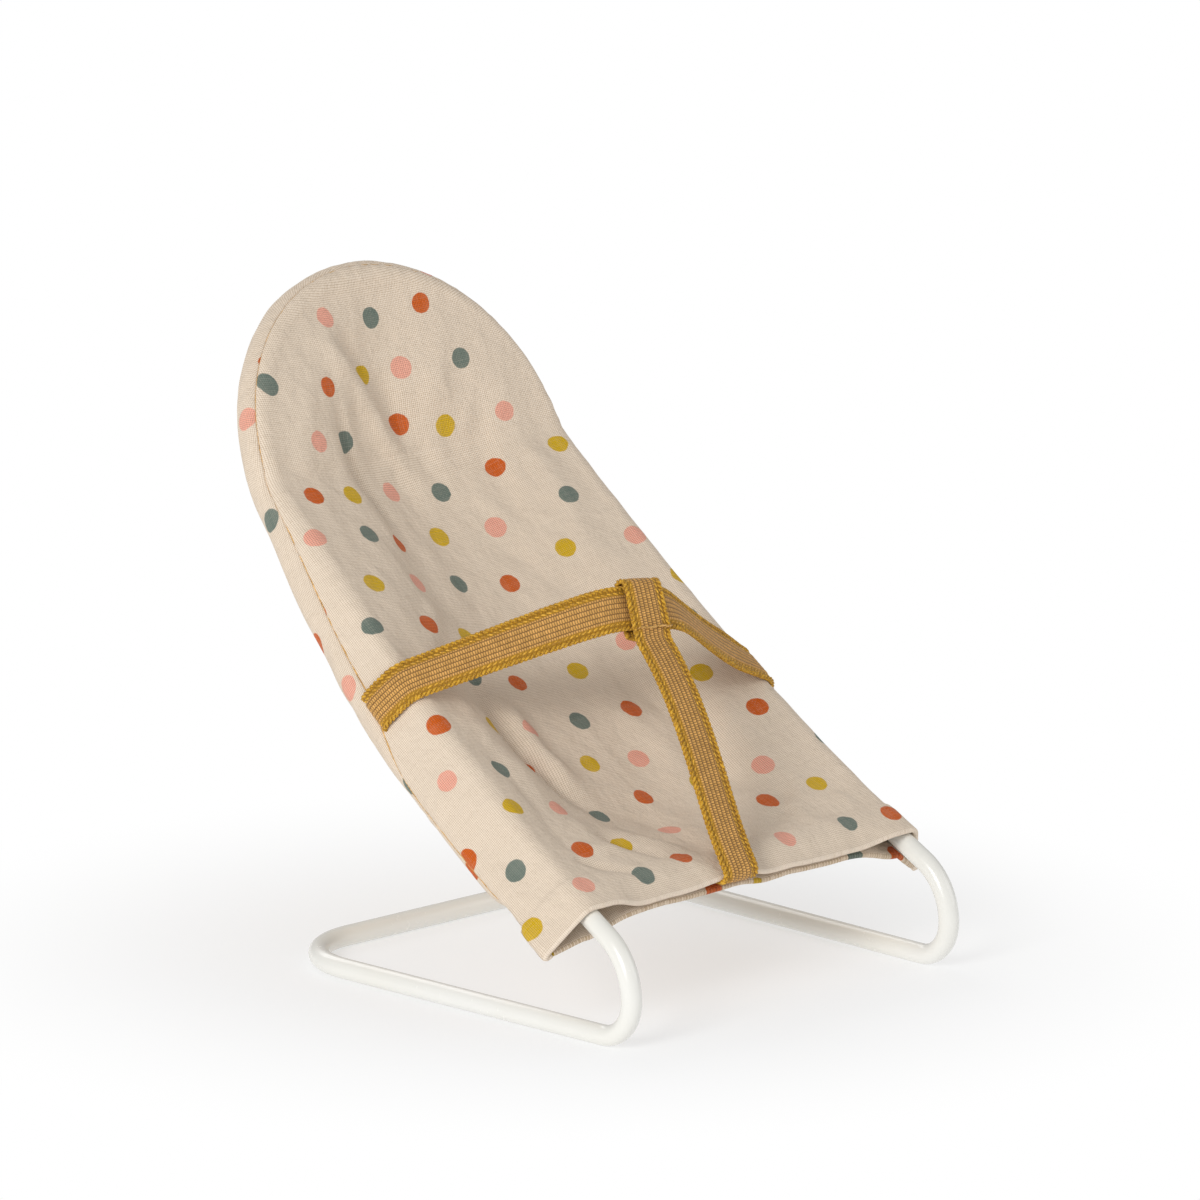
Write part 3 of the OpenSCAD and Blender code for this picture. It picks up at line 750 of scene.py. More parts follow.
def cotton_material(turned=False):
    """Cream cotton with printed spots and painted shade between its threads; the panel at the back is cut
    from another place of the cloth.
    """
    name = "cotton_back" if turned else "cotton_front"
    c, cover = settings("colours"), settings("cover")
    material, n, shader = new_material(name, Roughness=0.88, Sheen_Weight=0.08, Sheen_Roughness=0.4,
                                       Specular_IOR_Level=0.25)
    flat = n.add("ShaderNodeUVMap", uv_map="Cloth").outputs[0]
    cut = BACK_CUT if turned else FRONT_CUT
    placed = n.add("ShaderNodeMapping", {"Vector": flat, "Location": cut}).outputs[0]
    weave = n.grouped(weave_group(), Place=n.shaken(placed, 700.0, 0.10 * MM), Pitch=cover.weave)
    slub = n.grouped(slub_group(), Place=placed)
    spots = n.grouped(spots_group(), Place=placed, Spacing=cover.spot_spacing, Diameter=cover.spot)
    ink = tinted(c.rust)
    for number, rgb in enumerate((c.mustard, c.pink, c.sage)):
        ink = n.blend(n.math("GREATER_THAN", spots.outputs["Pick"], number + 0.5), ink, tinted(rgb))
    thread = n.spread(weave.outputs["Height"], *THREAD_EDGE)
    # gap is painted shade, put between the threads below, and also the colour of the yarn's dark flecks
    lit, gap = shaded(c.cotton, COTTON_LIT), shaded(c.cotton, COTTON_GAP_SHADE_AND_FLECK)
    ground = n.blend(n.math("MULTIPLY", weave.outputs["Tone"], PALE_THREADS), tinted(c.cotton), lit)
    # painted shade between the threads
    ground = n.blend(thread, gap, ground)
    fleck = n.spread(n.noise(placed, 2300.0, dimensions="2D"), *FLECKS)
    ground = n.blend(fleck, ground, gap)
    ground = n.blend(n.spread(slub.outputs["Streak"], *SLUBS), ground, lit)
    # the ink gets painted shade towards black between the threads, and is a little worn off some of them
    worn = n.math("MULTIPLY", n.math("SUBTRACT", 1.0, weave.outputs["Tone"]), WORN_INK)
    sunk = n.blend(INK_GAP_SHADE, ink, BLACK)
    ink = n.blend(worn, n.blend(thread, sunk, ink), tinted(c.cotton))
    n.put(shader.inputs["Base Color"], n.blend(spots.outputs["Mask"], ground, ink))
    crumple = n.noise(placed, 260.0, 3.0, 0.55, dimensions="2D")
    broad = n.bump(crumple, 0.55, 1.0 * MM)
    height = n.math("ADD", weave.outputs["Height"], n.math("MULTIPLY", slub.outputs["Streak"], 0.5))
    n.put(shader.inputs["Normal"], n.bump(height, 0.6, 0.10 * MM, Normal=broad))
    return material


def wire_material():
    """Glossy off-white coating with a faint orange-peel surface and rubbed specks."""
    c = settings("colours")
    material, n, shader = new_material("white_wire", Coat_Weight=0.35, Coat_Roughness=0.12)
    place = n.add("ShaderNodeTexCoord").outputs["Object"]
    wear = n.grouped(wear_group(), Place=place)
    cloud = n.spread(wear.outputs["Cloud"], 0.3, 0.7)
    paint = n.blend(cloud, tinted(c.wire), shaded(c.wire, COAT_CLOUD))
    rub = n.math("MULTIPLY", wear.outputs["Rub"], 0.25)
    n.put(shader.inputs["Base Color"], n.blend(rub, paint, RUBBED))
    n.put(shader.inputs["Roughness"], n.math("MULTIPLY_ADD", wear.outputs["Rub"], 0.35, 0.27))
    peel = n.noise(place, 700.0, 1.0)
    ripple = n.noise(place, 160.0, 1.0)
    height = n.math("ADD", peel, n.math("MULTIPLY", ripple, 2.5))
    n.put(shader.inputs["Normal"], n.bump(height, 0.30, 0.05 * MM))
    return material


def tape_material():
    """The ribbed middle of the webbing: cross threads over long ribs, with painted shade between the threads
    and between the ribs, on a ground at the edges darkened with painted shade under the cords.
    """
    c = settings("colours")
    material, n, shader = new_material("webbing_tape", Roughness=0.68, Sheen_Weight=0.08, Sheen_Roughness=0.4)
    flat = n.add("ShaderNodeUVMap", uv_map="Cloth").outputs[0]
    placed = n.shaken(flat, 1400.0, 0.12 * MM)
    ribs = n.grouped(ribs_group(), Place=placed, Pitch=CROSS_THREAD, Rib=TAPE_RIB)
    groove_shade = shaded(c.tape, TAPE_GROOVE_SHADE)
    thread = n.blend(ribs.outputs["Tone"], tinted(c.tape), shaded(c.tape, TAPE_LIT))
    # painted shade where the cross threads dip and between the ribs
    base = n.blend(n.spread(ribs.outputs["Height"], 0.35, 0.95, 0.18, 1.0), groove_shade, thread)
    base = n.blend(n.spread(ribs.outputs["Crown"], 0.10, 0.62, 0.85, 0.0), base, groove_shade)
    side = n.math("ABSOLUTE", n.add("ShaderNodeSeparateXYZ", {0: flat}).outputs[0])
    beyond = n.spread(side, TAPE_HALF - 0.1 * MM, TAPE_HALF + 0.1 * MM)
    # painted shade on the ground beyond the ribbed middle, under the cords
    base = n.blend(beyond, base, shaded(c.cord, TAPE_GROUND_SHADE))
    n.put(shader.inputs["Base Color"], base)
    n.put(shader.inputs["Normal"], n.bump(ribs.outputs["Height"], 0.8, 0.14 * MM))
    return material


def strand_material(name, rgb, rough=0.62):
    """Twisted yarn: fine fibres with painted shade in the hollows between them, and small changes of tone
    along it.
    """
    material, n, shader = new_material(name, Roughness=rough, Sheen_Weight=0.15, Sheen_Roughness=0.35)
    place = n.add("ShaderNodeTexCoord").outputs["Object"]
    fibre = n.noise(place, 3600.0, 2.0)
    tone = n.noise(place, 900.0, 2.0)
    # painted shade where the fibres' bump is low
    base = n.blend(n.spread(fibre, 0.38, 0.60), shaded(rgb, STRAND_HOLLOW_SHADE), tinted(rgb))
    base = n.blend(n.spread(tone, 0.48, 0.70, 0.0, 0.75), base, shaded(rgb, STRAND_LIT))
    n.put(shader.inputs["Base Color"], base)
    n.put(shader.inputs["Normal"], n.bump(fibre, 0.6, 0.08 * MM))
    return material


def shared(name, make):
    """A material that several pieces use is made once."""
    return bpy.data.materials.get(name) or make()


# ---------------------------------------------------------------- the cover
# Soft folds of the hanging cloth, as (route, half width, height) on the flat cloth, in millimetres:
# across from the middle line, and along from the front loops
FOLDS = [
    (((-18, 152), (-7, 137), (-1, 125), (5, 112)), 3.0, 1.7),
    (((-11, 150), (-1, 136), (5, 122)), 3.2, -1.5),
    (((-16, 138), (-14, 122), (-10, 104)), 1.9, -1.3),
    (((-20, 132), (-18, 116), (-16, 98)), 3.0, 0.8),
    (((-25, 128), (-27, 108), (-33, 88)), 3.4, -0.6),
    (((-9, 116), (-6, 98), (-10, 82)), 3.0, 0.7),
    (((-20, 72), (-20.5, 52), (-18, 40), (-12, 31)), 2.2, -1.8),
    (((-15, 68), (-16, 50), (-12, 36)), 2.4, 1.4),
    (((-29, 74), (-28, 52), (-24, 28), (-27, 12)), 3.6, 0.8),
    (((-34, 58), (-32, 36), (-34, 22)), 2.6, -0.7),
    (((-14, 30), (-6, 22), (4, 21)), 2.6, 0.6),
    (((8, 66), (14, 44), (11, 28)), 3.2, 0.9),
    (((15, 68), (22, 48), (20, 26)), 2.4, -0.9),
    (((24, 70), (29, 48), (27, 22)), 3.4, 0.8),
    (((18, 148), (11, 132), (10, 112)), 3.0, 0.9),
    (((24, 136), (19, 118), (20, 96)), 2.4, -0.8),
    (((29, 124), (30, 104), (27, 84)), 3.4, 0.7),
    (((3, 146), (2, 128), (-3, 108)), 3.4, -0.6),
    (((12, 104), (16, 90), (27, 76)), 2.6, -0.7),
    (((-14, 92), (-24, 80), (-34, 72)), 2.4, 0.7),
    (((34, 20), (41, 12)), 2.2, 0.7),
    (((-34, 25), (-27, 20), (-20, 19)), 1.6, 0.8),
    (((22, 17), (27, 8)), 2.0, 0.5),
    (((-39, 20), (-34, 18), (-30, 15), (-24, 9)), 1.2, -1.0),
    (((-25, 28), (-18, 19), (-14, 11)), 1.2, -0.9),
    (((-20, 29), (-13, 20), (-8, 13)), 1.5, 0.8),
    (((30, 30), (22, 20), (12, 15)), 1.4, -0.8),
]


FOLD_FADE = 0.3                    # share of a fold's length over which each end fades
FOLDS_GROW = (2 * MM, 9 * MM)      # away from the wire
SWELL, SWELL_AT, SWELL_HALF = 1.1 * MM, 8 * MM, 6 * MM
SWELL_GROWS = (20 * MM, 45 * MM)   # along the wire, from the front loops
SHELF, SHELF_LEAN, SHELF_LEAN_HALF = 2.7 * MM, 0.6 * MM, 20 * MM
SHELF_AT, SHELF_HALF = 16 * MM, 10 * MM
SHELF_GROWS, SHELF_SINKS, SHELF_SUNK = (62 * MM, 100 * MM), (135 * MM, 170 * MM), 0.55
COARSE_CREASE, FINE_CREASE = (75, 3.1, 0.65 * MM), (190, 7.7, 0.24 * MM)    # noise scale, seed and height
CREASES_GROW, CREASES_IN_HEM = (8 * MM, 22 * MM), 0.35      # along the wire, and their share before it
CREASES_OFF_WIRE, CREASES_ON_WIRE = (3 * MM, 8 * MM), 0.45  # away from the wire, and their share over it
CREASES_FROM_SEAM = (0.5 * MM, 5 * MM)
WIRE_HOLDS, WIRE_DIP = (3 * MM, 7 * MM), -0.1 * MM          # near the wire nothing goes further in than this
SEAM_PUCKER, SEAM_DIP = (2.0 * MM, 0.20 * MM), (0.5 * MM, 0.30 * MM)        # reach from the seam and height
HEM_SEWN, HEM_SEWN_HALF = 0.8 * MM, 0.9 * MM    # the hem's stitched line, from the hem's end
HEM_DIP, HEM_DIP_UNEVEN = 0.16, 0.12
HEM_WAVE = 0.35 * MM
LIP_ROLL, LIP_ROLL_BACK = 1.8 * MM, 8 * MM
LIP_STRAP_HALF = 8 * MM
LIP_FROM_WIRE = (4 * MM, 14 * MM)


def fold_height(flat, folds):
    """Height of the folds at places on the flat cloth: long crests that fade at both ends."""
    total = np.zeros(flat.shape[:-1])
    for route, half, height in folds:
        route = np.array(route) * MM
        runs = np.diff(route, axis=0)
        sizes = np.linalg.norm(runs, axis=1)
        nearest, share = np.full_like(total, np.inf), np.zeros_like(total)
        for start, run, size, before in zip(route, runs, sizes, np.cumsum(sizes) - sizes):
            along = np.clip((flat - start) @ run / size ** 2, 0, 1)
            away = np.linalg.norm(flat - start - along[..., None] * run, axis=-1)
            share = np.where(away < nearest, (before + along * size) / sizes.sum(), share)
            nearest = np.minimum(nearest, away)
        ends = smooth(share / FOLD_FADE) * smooth((1 - share) / FOLD_FADE)
        total += height * MM * hill(nearest, 0, half * MM) * ends
    return total


def normals_of(points):
    along, over = np.gradient(points, axis=0), np.gradient(points, axis=1)
    n = np.cross(over, along)
    return n / np.maximum(np.linalg.norm(n, axis=-1, keepdims=True), 1e-12)


def panel_rows(shape, spacing):
    """Distances along the wire, denser in the hem."""
    c = shape.c
    hem_end = c.mouth + c.hem
    hem = np.linspace(c.mouth, hem_end, 12)
    rest = np.linspace(hem_end, shape.reach, round((shape.reach - hem_end) / spacing))
    return np.concatenate([hem, rest[1:]])


def relief(shape, s, flat, hand, side):
    """Height of folds, creases and puckers over the smooth sheet; over the wire they go hardly inwards."""
    c = shape.c
    rim = np.linalg.norm(flat[:, :1] - flat, axis=-1)
    wire_at = np.linalg.norm(flat[:, 0] - shape.stations(s)[4], axis=-1)
    flat = flat * [hand, 1]
    from_wire = rim - wire_at[:, None]
    mouth = c.mouth + c.hem
    calm = ramp(s, *CREASES_GROW)[:, None]
    folded = fold_height(flat, FOLDS) * ramp(from_wire, *FOLDS_GROW)
    swell = SWELL * hill(from_wire, SWELL_AT, SWELL_HALF) * ramp(s, *SWELL_GROWS)[:, None]
    # beside the back and the head the cloth stands up in a broad shelf, more so on the left
    lean = SHELF - SHELF_LEAN * np.clip(flat[..., 0] / SHELF_LEAN_HALF, -1, 1)
    shelf = lean * hill(from_wire, SHELF_AT, SHELF_HALF)
    swell += shelf * (ramp(s, *SHELF_GROWS) * (1 - SHELF_SUNK * ramp(s, *SHELF_SINKS)))[:, None]
    creases = crease(flat, *COARSE_CREASE) + crease(flat, *FINE_CREASE)
    creases *= mix(CREASES_IN_HEM, 1, calm)
    creases *= mix(CREASES_ON_WIRE, 1, ramp(np.abs(from_wire), *CREASES_OFF_WIRE))
    total = folded + swell + creases * ramp(rim, *CREASES_FROM_SEAM)
    on_wire = 1 - ramp(np.abs(from_wire), *WIRE_HOLDS)
    total = mix(total, np.maximum(total, WIRE_DIP), on_wire)
    pucker = hill(rim, 0, SEAM_PUCKER[0]) * wrinkle(flat, 480, 1.9) * SEAM_PUCKER[1]
    seam = -SEAM_DIP[1] * hill(rim, 0, SEAM_DIP[0])
    sewn = hill(s[:, None], mouth - HEM_SEWN, HEM_SEWN_HALF)
    hem = -sewn * MM * (HEM_DIP + HEM_DIP_UNEVEN * wrinkle(flat, 330, 5.3))
    wave = (1 - ramp(s, c.mouth, mouth))[:, None] * wrinkle(flat, 130, 8.8) * HEM_WAVE
    # the lip rolls down on both sides of the strap
    strap = hill(flat[..., 0], -settings("harness").shift, LIP_STRAP_HALF)
    roll = (1 - ramp(s, c.mouth, c.mouth + LIP_ROLL_BACK))[:, None] ** 2
    roll = roll * (1 - strap) * ramp(from_wire, *LIP_FROM_WIRE)
    return total + side * (pucker + seam + hem) + wave - LIP_ROLL * roll


def crease(flat, scale, seed, height):
    """Creased noise about zero: soft hollows between narrower crests, longer along the seat than across."""
    return (0.45 - np.abs(wrinkle(flat * [1, 0.6], scale, seed)) * 1.8) * height


def panel(name, shape, sheet, side):
    """One cotton panel: sheet gives its points, side is 1 where the cloth faces up and -1 where down."""
    cover = shape.c
    s = panel_rows(shape, 1.0 * MM)
    hem_rows = int(np.sum(s <= cover.mouth + cover.hem - 0.6 * MM))
    inner = np.arange(hem_rows - 1, 0, -1)
    lip_turns = np.linspace(-math.pi / 2, math.pi / 2, 7)
    halves = []
    for hand in (1, -1):
        points, flat = sheet(s, hand)
        normal = normals_of(points)
        if normal[len(s) // 2, -1] @ shape.arch_normal < 0:
            normal = -normal
        # both halves share the middle line, and the row at the top of the arch lies on it
        points[:, -1, 0] = points[-1, :, 0] = 0
        normal[-1] = unit(normal[-1] * [0, 1, 1])
        normal[:, -1] = np.cross(X_AXIS, unit(np.gradient(points[:, -1], axis=0)))
        tangent = unit(np.gradient(points, axis=0))
        points = points + normal * relief(shape, s, flat, hand, side)[..., None]
        outer = points + side * normal * (shape.layers(s) - cover.cloth)[:, None, None] / 2
        # the hem's inner layer comes first, from its raw edge to the lip
        inside = points[inner] - side * normal[inner] * cover.cloth / 2
        lip = [points[0] + cover.cloth / 2 * (side * normal[0] * math.sin(t) - tangent[0] * math.cos(t))
               for t in lip_turns]
        half = np.concatenate([inside, lip, outer[1:]])
        half_flat = np.concatenate([2 * flat[0] - flat[inner], np.repeat(flat[:1], len(lip), 0), flat[1:]])
        halves.append((half * [hand, 1, 1], half_flat * [hand, 1]))
    (right, right_flat), (left, left_flat) = halves
    both = np.concatenate([right, left[-2::-1]])
    bm = sheet_bmesh(both, np.concatenate([right_flat, left_flat[-2::-1]]))
    columns = both.shape[1]
    middle = [v for v in bm.verts if v.index % columns == columns - 1]
    bmesh.ops.remove_doubles(bm, verts=middle, dist=2 * MERGE)
    bmesh.ops.recalc_face_normals(bm, faces=bm.faces[:])
    return mesh_from(bm, name)


class BOUNCER_OT_cover(bpy.types.Operator):
    """Sew the front and back cotton panels"""
    bl_idname = "bouncer.cover"
    bl_label = "Cover"

    BLANK = (116 * MM, 170 * MM)       # the rectangle of cotton that a panel is cut from

    def execute(self, context):
        shape = SeatShape()
        front = panel("front_panel", shape, shape.front_sheet, 1)
        back = panel("back_panel", shape, shape.back_sheet, -1)
        for mesh, node, material in ((front, "cover_front", cotton_material()),
                                     (back, "cover_back", cotton_material(turned=True))):
            piece = finished(mesh.name, mesh, [material], "seat")
            wall = piece.modifiers.new("Yarn", "SOLIDIFY")
            wall.thickness = shape.c.yarn
            wall.offset = 0
            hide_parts(node)
        return {"FINISHED"}


# ---------------------------------------------------------------- the wire
class BOUNCER_OT_wire(bpy.types.Operator):
    """Bend the frame's single wire"""
    bl_idname = "bouncer.wire"
    bl_label = "Wire"

    FLEX = 4.5 * MM                    # above and below the hinge, the wire bends over this height

    def execute(self, context):
        shape = SeatShape()
        w = shape.w
        corner_turn = math.pi / 2 + shape.base_yaw
        corner_cut = w.rear_bend * math.tan(corner_turn / 2)
        up = Vector((0, 0, 1))
        bar = Bar((0, shape.front + w.base_depth, shape.radius), (1, 0, 0), shape.radius)
        bar.straight(w.rear_width / 2 - corner_cut)
        bar.bend(w.rear_bend, corner_turn, -up)
        bar.straight(w.base_depth / math.cos(shape.base_yaw) - corner_cut - w.loop_low, 24)
        bar.bend(w.loop_low, math.pi / 2, bar.heading.cross(up))
        side = up.cross(Vector((-math.sin(shape.yaw), math.cos(shape.yaw), 0)))
        bar.heading = up.copy()
        bar.bend(w.loop_high, shape.loop_turn, side)
        for size, turn in shape.stretches:
            bar.bend(size / turn, turn, -side)
        bar.bend(shape.arch_r, math.pi / 2 - shape.inset, np.cross(X_AXIS, shape.arch_up))
        bm = bar.bm
        bmesh.ops.mirror(bm, geom=bm.verts[:] + bm.edges[:] + bm.faces[:], merge_dist=MERGE, axis="X")
        bmesh.ops.remove_doubles(bm, verts=bm.verts[:], dist=MERGE)
        bmesh.ops.recalc_face_normals(bm, faces=bm.faces[:])
        piece = finished("frame_wire", mesh_from(bm, "frame_wire"), [wire_material()])
        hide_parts("base_wire", "seat_wire")
        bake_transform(piece)
        return {"FINISHED"}


# ---------------------------------------------------------------- the harness
TAPE_HALF = 2.5 * MM               # the ribbed middle
TAPE_RIB = 1.0 * MM
CROSS_THREAD = 0.5 * MM
POINTS_PER_RIB = 8
GROOVE = 0.66                      # thickness between two ribs, as a share of that at a rib
SELVEDGE = 4.1 * MM                # the thin ground that carries the cords, to its outer edge
SELVEDGE_THICK = (0.24 * MM, 0.18 * MM)    # half its thickness, inside and at the edge
TAPE_SHARE = 0.8                   # thickness of the ribbed middle, as a share of the webbing's
# edge cords, as (place, strands, lay, strand, twist): an inner chain and a thick outer cord
CORDS = ((2.93 * MM, 2, 0.19 * MM, 0.40 * MM, 2.4 * MM), (3.93 * MM, 2, 0.27 * MM, 0.60 * MM, 2.0 * MM))


class Route:
    """A webbing's centre line with the direction of its width, at even steps."""

    def __init__(self, points, across, step):
        points, across = np.array(points), np.array(across)
        gaps = np.concatenate([[0], np.cumsum(np.linalg.norm(np.diff(points, axis=0), axis=1))])
        self.size = gaps[-1]
        self.at = np.linspace(0, self.size, round(self.size / step) + 1)
        self.points = self.curve(gaps, points)
        ahead = unit(np.gradient(self.points, axis=0))
        wide = self.curve(gaps, across)
        self.wide = unit(wide - ahead * np.sum(wide * ahead, 1)[:, None])
        self.out = np.cross(ahead, self.wide)

    def curve(self, gaps, values):
        """Values at even steps, eased so that the corners between the given points are round."""
        even = np.stack([np.interp(self.at, gaps, column) for column in values.T], -1)
        for _ in range(12):
            even[1:-1] = (even[:-2] + 2 * even[1:-1] + even[2:]) / 4
        return even

    def offset(self, across, out):
        return self.points + self.wide * across + self.out * out


def tape_bmesh(route, half, thick):
    """The ribbed strip with its selvedges: its section is laid round the route and closed at the ends."""
    ribs = round(2 * half / TAPE_RIB)
    x = np.linspace(-half, half, ribs * POINTS_PER_RIB + 1)
    rib = np.abs(np.sin(x / TAPE_RIB * math.pi + math.pi / 2 * (ribs % 2)))
    height = thick / 2 * mix(GROOVE, 1, np.sqrt(rib))
    edge = np.array([half + 0.05 * MM, SELVEDGE])
    x = np.concatenate([-edge[::-1], x, edge])
    height = np.concatenate([SELVEDGE_THICK[::-1], height, SELVEDGE_THICK])
    section_x = np.concatenate([x, x[::-1], x[:1]])
    section_y = np.concatenate([height, -height[::-1], height[:1]])
    points = (route.points[:, None] + route.wide[:, None] * section_x[None, :, None]
              + route.out[:, None] * section_y[None, :, None])
    flat = np.stack(np.broadcast_arrays(section_x[None], route.at[:, None]), -1)
    bm = sheet_bmesh(points, flat)
    bmesh.ops.remove_doubles(bm, verts=bm.verts[:], dist=0.002 * MM)
    bmesh.ops.holes_fill(bm, edges=[e for e in bm.edges if e.is_boundary])
    bmesh.ops.recalc_face_normals(bm, faces=bm.faces[:])
    return bm


def cord_routes(route, place, strands, lay, twist):
    """The strands of one twisted cord along each edge; the two edges twist opposite ways."""
    fine = np.linspace(0, route.size, round(route.size / twist * 11))
    points, wide, out = [np.stack([np.interp(fine, route.at, column) for column in values.T], -1)
                         for values in (route.points, route.wide, route.out)]
    routes = []
    for side in (-1, 1):
        for number in range(strands):
            turn = side * fine / twist * 2 * math.pi + number * 2 * math.pi / strands
            x, y = side * place + lay * np.cos(turn), lay * np.sin(turn)
            routes.append(points + wide * x[:, None] + out * y[:, None])
    return routes


def webbing_mesh(name, route, thickness):
    """Tape and edge cords in one mesh: slot 0 is the tape, slot 1 the outer cords, slot 2 the inner ones."""
    bm = tape_bmesh(route, TAPE_HALF, thickness * TAPE_SHARE)
    for slot, (place, strands, lay, strand, twist) in enumerate(CORDS):
        cords = tube_mesh(name + "_cords", cord_routes(route, place, strands, lay, twist), strand / 2)
        before = len(bm.faces)
        bm.from_mesh(cords)
        bm.faces.ensure_lookup_table()
        for face in bm.faces[before:]:
            face.material_index = len(CORDS) - slot
        bpy.data.meshes.remove(cords)
    return mesh_from(bm, name)


class HarnessShape:
    """Where the belt and the strap lie, worked out from the seat's shape."""

    CREST, FLANK = 4 * MM, 0.75
    DROOP, DROOP_FROM = 0.08, 0.1      # how much the belt's right half hangs through, and from where
    TURN_EARLY, TURN_LATE = (0.02, 0.3), (0.72, 1)    # where along its right half the belt turns down
    TURN_SHARE = 0.43                  # how much of the turn comes early
    STRAP_SLOPE = math.radians(45)
    LAND = math.radians(34)
    STRAP_EASE, LAND_EASE = 0.38, 0.27

    def __init__(self, seat):
        self.seat, self.h = seat, settings("harness")
        h, c = self.h, seat.c
        self.lift = seat.radius + c.gap + c.cloth + c.layer_gap + h.thickness / 2
        self.flat_half = h.width / 2 + c.layer_gap
        run = seat.w.front_width / 2
        self.flank_angle = math.atan(h.rise / self.bow(run) * self.FLANK ** 2 * (run - self.flat_half)
                                     / (self.bow(run) + self.CREST))
        mirrored = np.array([-1, 1, 1])
        self.left = self.over_rail(h.left_at) * mirrored
        self.right = self.over_rail(h.right_at)
        _, _, out, _, _, _ = seat.stations([(h.left_at + h.right_at) / 2])
        self.normal = unit(out[0] * [0, 1, 1])
        self.along = np.array([0, self.normal[2], -self.normal[1]])
        self.across = np.array([0, math.cos(h.tilt), math.sin(h.tilt)])
        self.run = unit(self.right - self.left)
        self.wide = unit(self.across - self.run * (self.across @ self.run))
        self.out = np.cross(self.run, self.wide)
        self.centre = self.belt_line(np.array([0.0]))[0]

    def bow(self, x):
        """How far the belt's line has fallen below its flat middle."""
        beyond = np.maximum(0, np.abs(x) - self.flat_half)
        return np.sqrt((self.FLANK * beyond) ** 2 + self.CREST ** 2) - self.CREST

    def over_rail(self, s):
        turn = math.pi / 2 + self.flank_angle
        place = self.lift * np.array([[[math.cos(turn), math.sin(turn)]]])
        return self.seat.section(np.array([s]), place)[0, 0]

    def belt_line(self, x):
        half = (self.right[0] - self.left[0]) / 2
        share = ((x - self.left[0]) / (2 * half))[:, None]
        lift = self.normal * self.h.rise - self.along * self.h.pull
        along = np.clip((x / half - self.DROOP_FROM) / (1 - self.DROOP_FROM), 0, 1)
        droop = self.DROOP * np.sin(math.pi * along)
        height = 1 - self.bow(x) / self.bow(half) - droop
        return mix(self.left, self.right, share) + lift * height[:, None]

    def belt_end(self, s, mirrored):
        """From the rail's top down the side of the cover and into the seam."""
        at = np.array([s])
        turns = np.linspace(self.seat.WRAP_FROM, math.pi / 2 + self.flank_angle, 6)[1:]
        top = self.lift * np.stack([np.cos(turns), np.sin(turns)], -1)[None]
        proud = self.lift - self.seat.skin(at)
        fall = self.seat.drape(at, np.array([self.lift]), np.linspace(0, 1, 9), proud)
        start = np.maximum(self.seat.seam_up(at), 0)
        down = self.seat.resample(np.concatenate([fall, top], 1), start, [1], 18)[:, ::-1]
        seam = down[:, -1:] + np.array([[[0.7 * MM, -0.5 * MM], [1.6 * MM, -0.5 * MM]]])
        points = self.seat.section(at, np.concatenate([down, seam], 1))[0]
        _, inward, out, _, _, _ = self.seat.stations(at)
        ahead = np.cross(inward[0], out[0])
        flip = np.array([-1, 1, 1]) if mirrored else np.ones(3)
        return points * flip, np.repeat([ahead * flip], len(points), 0)

    def belt_route(self):
        left, left_across = self.belt_end(self.h.left_at, True)
        right, right_across = self.belt_end(self.h.right_at, False)
        x = np.linspace(self.left[0], self.right[0], 62)[1:-1]
        half = (self.right[0] - self.left[0]) / 2
        early, late = ramp(x / half, *self.TURN_EARLY), ramp(x / half, *self.TURN_LATE)
        turned = np.where(x < 0, smooth(-x / half), mix(late, early, self.TURN_SHARE))
        wide = mix(self.across, self.along, turned[:, None])
        return Route(np.concatenate([left[::-1], self.belt_line(x), right]),
                     np.concatenate([left_across[::-1], wide, right_across]), 0.5 * MM)

    def strap_route(self):
        """Out of the mouth, over the lip, up to the belt, round it and back under its lower edge."""
        h, seat = self.h, self.seat
        near = np.array([seat.c.mouth, seat.c.mouth + seat.c.hem])
        lip, behind = seat.middle(near)
        back = unit(behind - lip)
        up = np.array([0, -back[2], back[1]])
        radius = seat.layers(near)[0] / 2 + seat.c.layer_gap + h.thickness / 2
        side = X_AXIS * -h.shift

        def round_lip(turn):
            return lip + (up * math.cos(turn) - back * math.sin(turn)) * radius

        def heading(turn):
            return -back * math.cos(turn) - up * math.sin(turn)

        loop_h = h.thickness + 2 * h.loop_gap + h.thickness
        loop_w = h.width + 2 * h.loop_gap + h.thickness
        face = self.out * loop_h / 2
        edge = self.wide * (loop_w / 2 - h.thickness * 0.3)
        front_low, front_high = self.centre + face - edge, self.centre + face + edge
        top = self.centre + face * 0.55 - self.wide * (loop_w / 2 + 0.6 * MM)
        land = round_lip(self.LAND)
        far = np.linalg.norm((top - land) * [0, 1, 1])
        slope = np.array([0, math.cos(self.STRAP_SLOPE), math.sin(self.STRAP_SLOPE)])
        leave = top - slope * far * self.STRAP_EASE
        arrive = land - heading(self.LAND) * far * self.LAND_EASE
        t = np.linspace(0, 1, 26)[:, None]
        climb = bezier(land, arrive, leave, top * [0, 1, 1] + X_AXIS * top[0], t) + side * smooth(1 - t)
        lip_turn = [round_lip(a) + side for a in np.linspace(math.pi, self.LAND, 12)[:-1]]
        tuck = [round_lip(math.pi) + back * h.tuck + side]
        above, below = self.wide * (loop_w / 2 + 0.2 * MM), self.wide * (loop_w / 2 + 0.1 * MM)
        over = [front_low, front_high, self.centre + above, self.centre - face + edge,
                self.centre - face - edge, self.centre - below - face * 0.5]
        tail = [self.centre - self.wide * (loop_w / 2 + 1.5 * MM) - face * 0.1 - self.run * 0.5 * MM]
        points = np.concatenate([tuck, lip_turn, climb, over, tail])
        count = len(tuck) + len(lip_turn) + len(climb)
        wide = np.repeat([-X_AXIS, -self.run], [count, len(points) - count], 0)
        return Route(points, wide, 0.4 * MM)


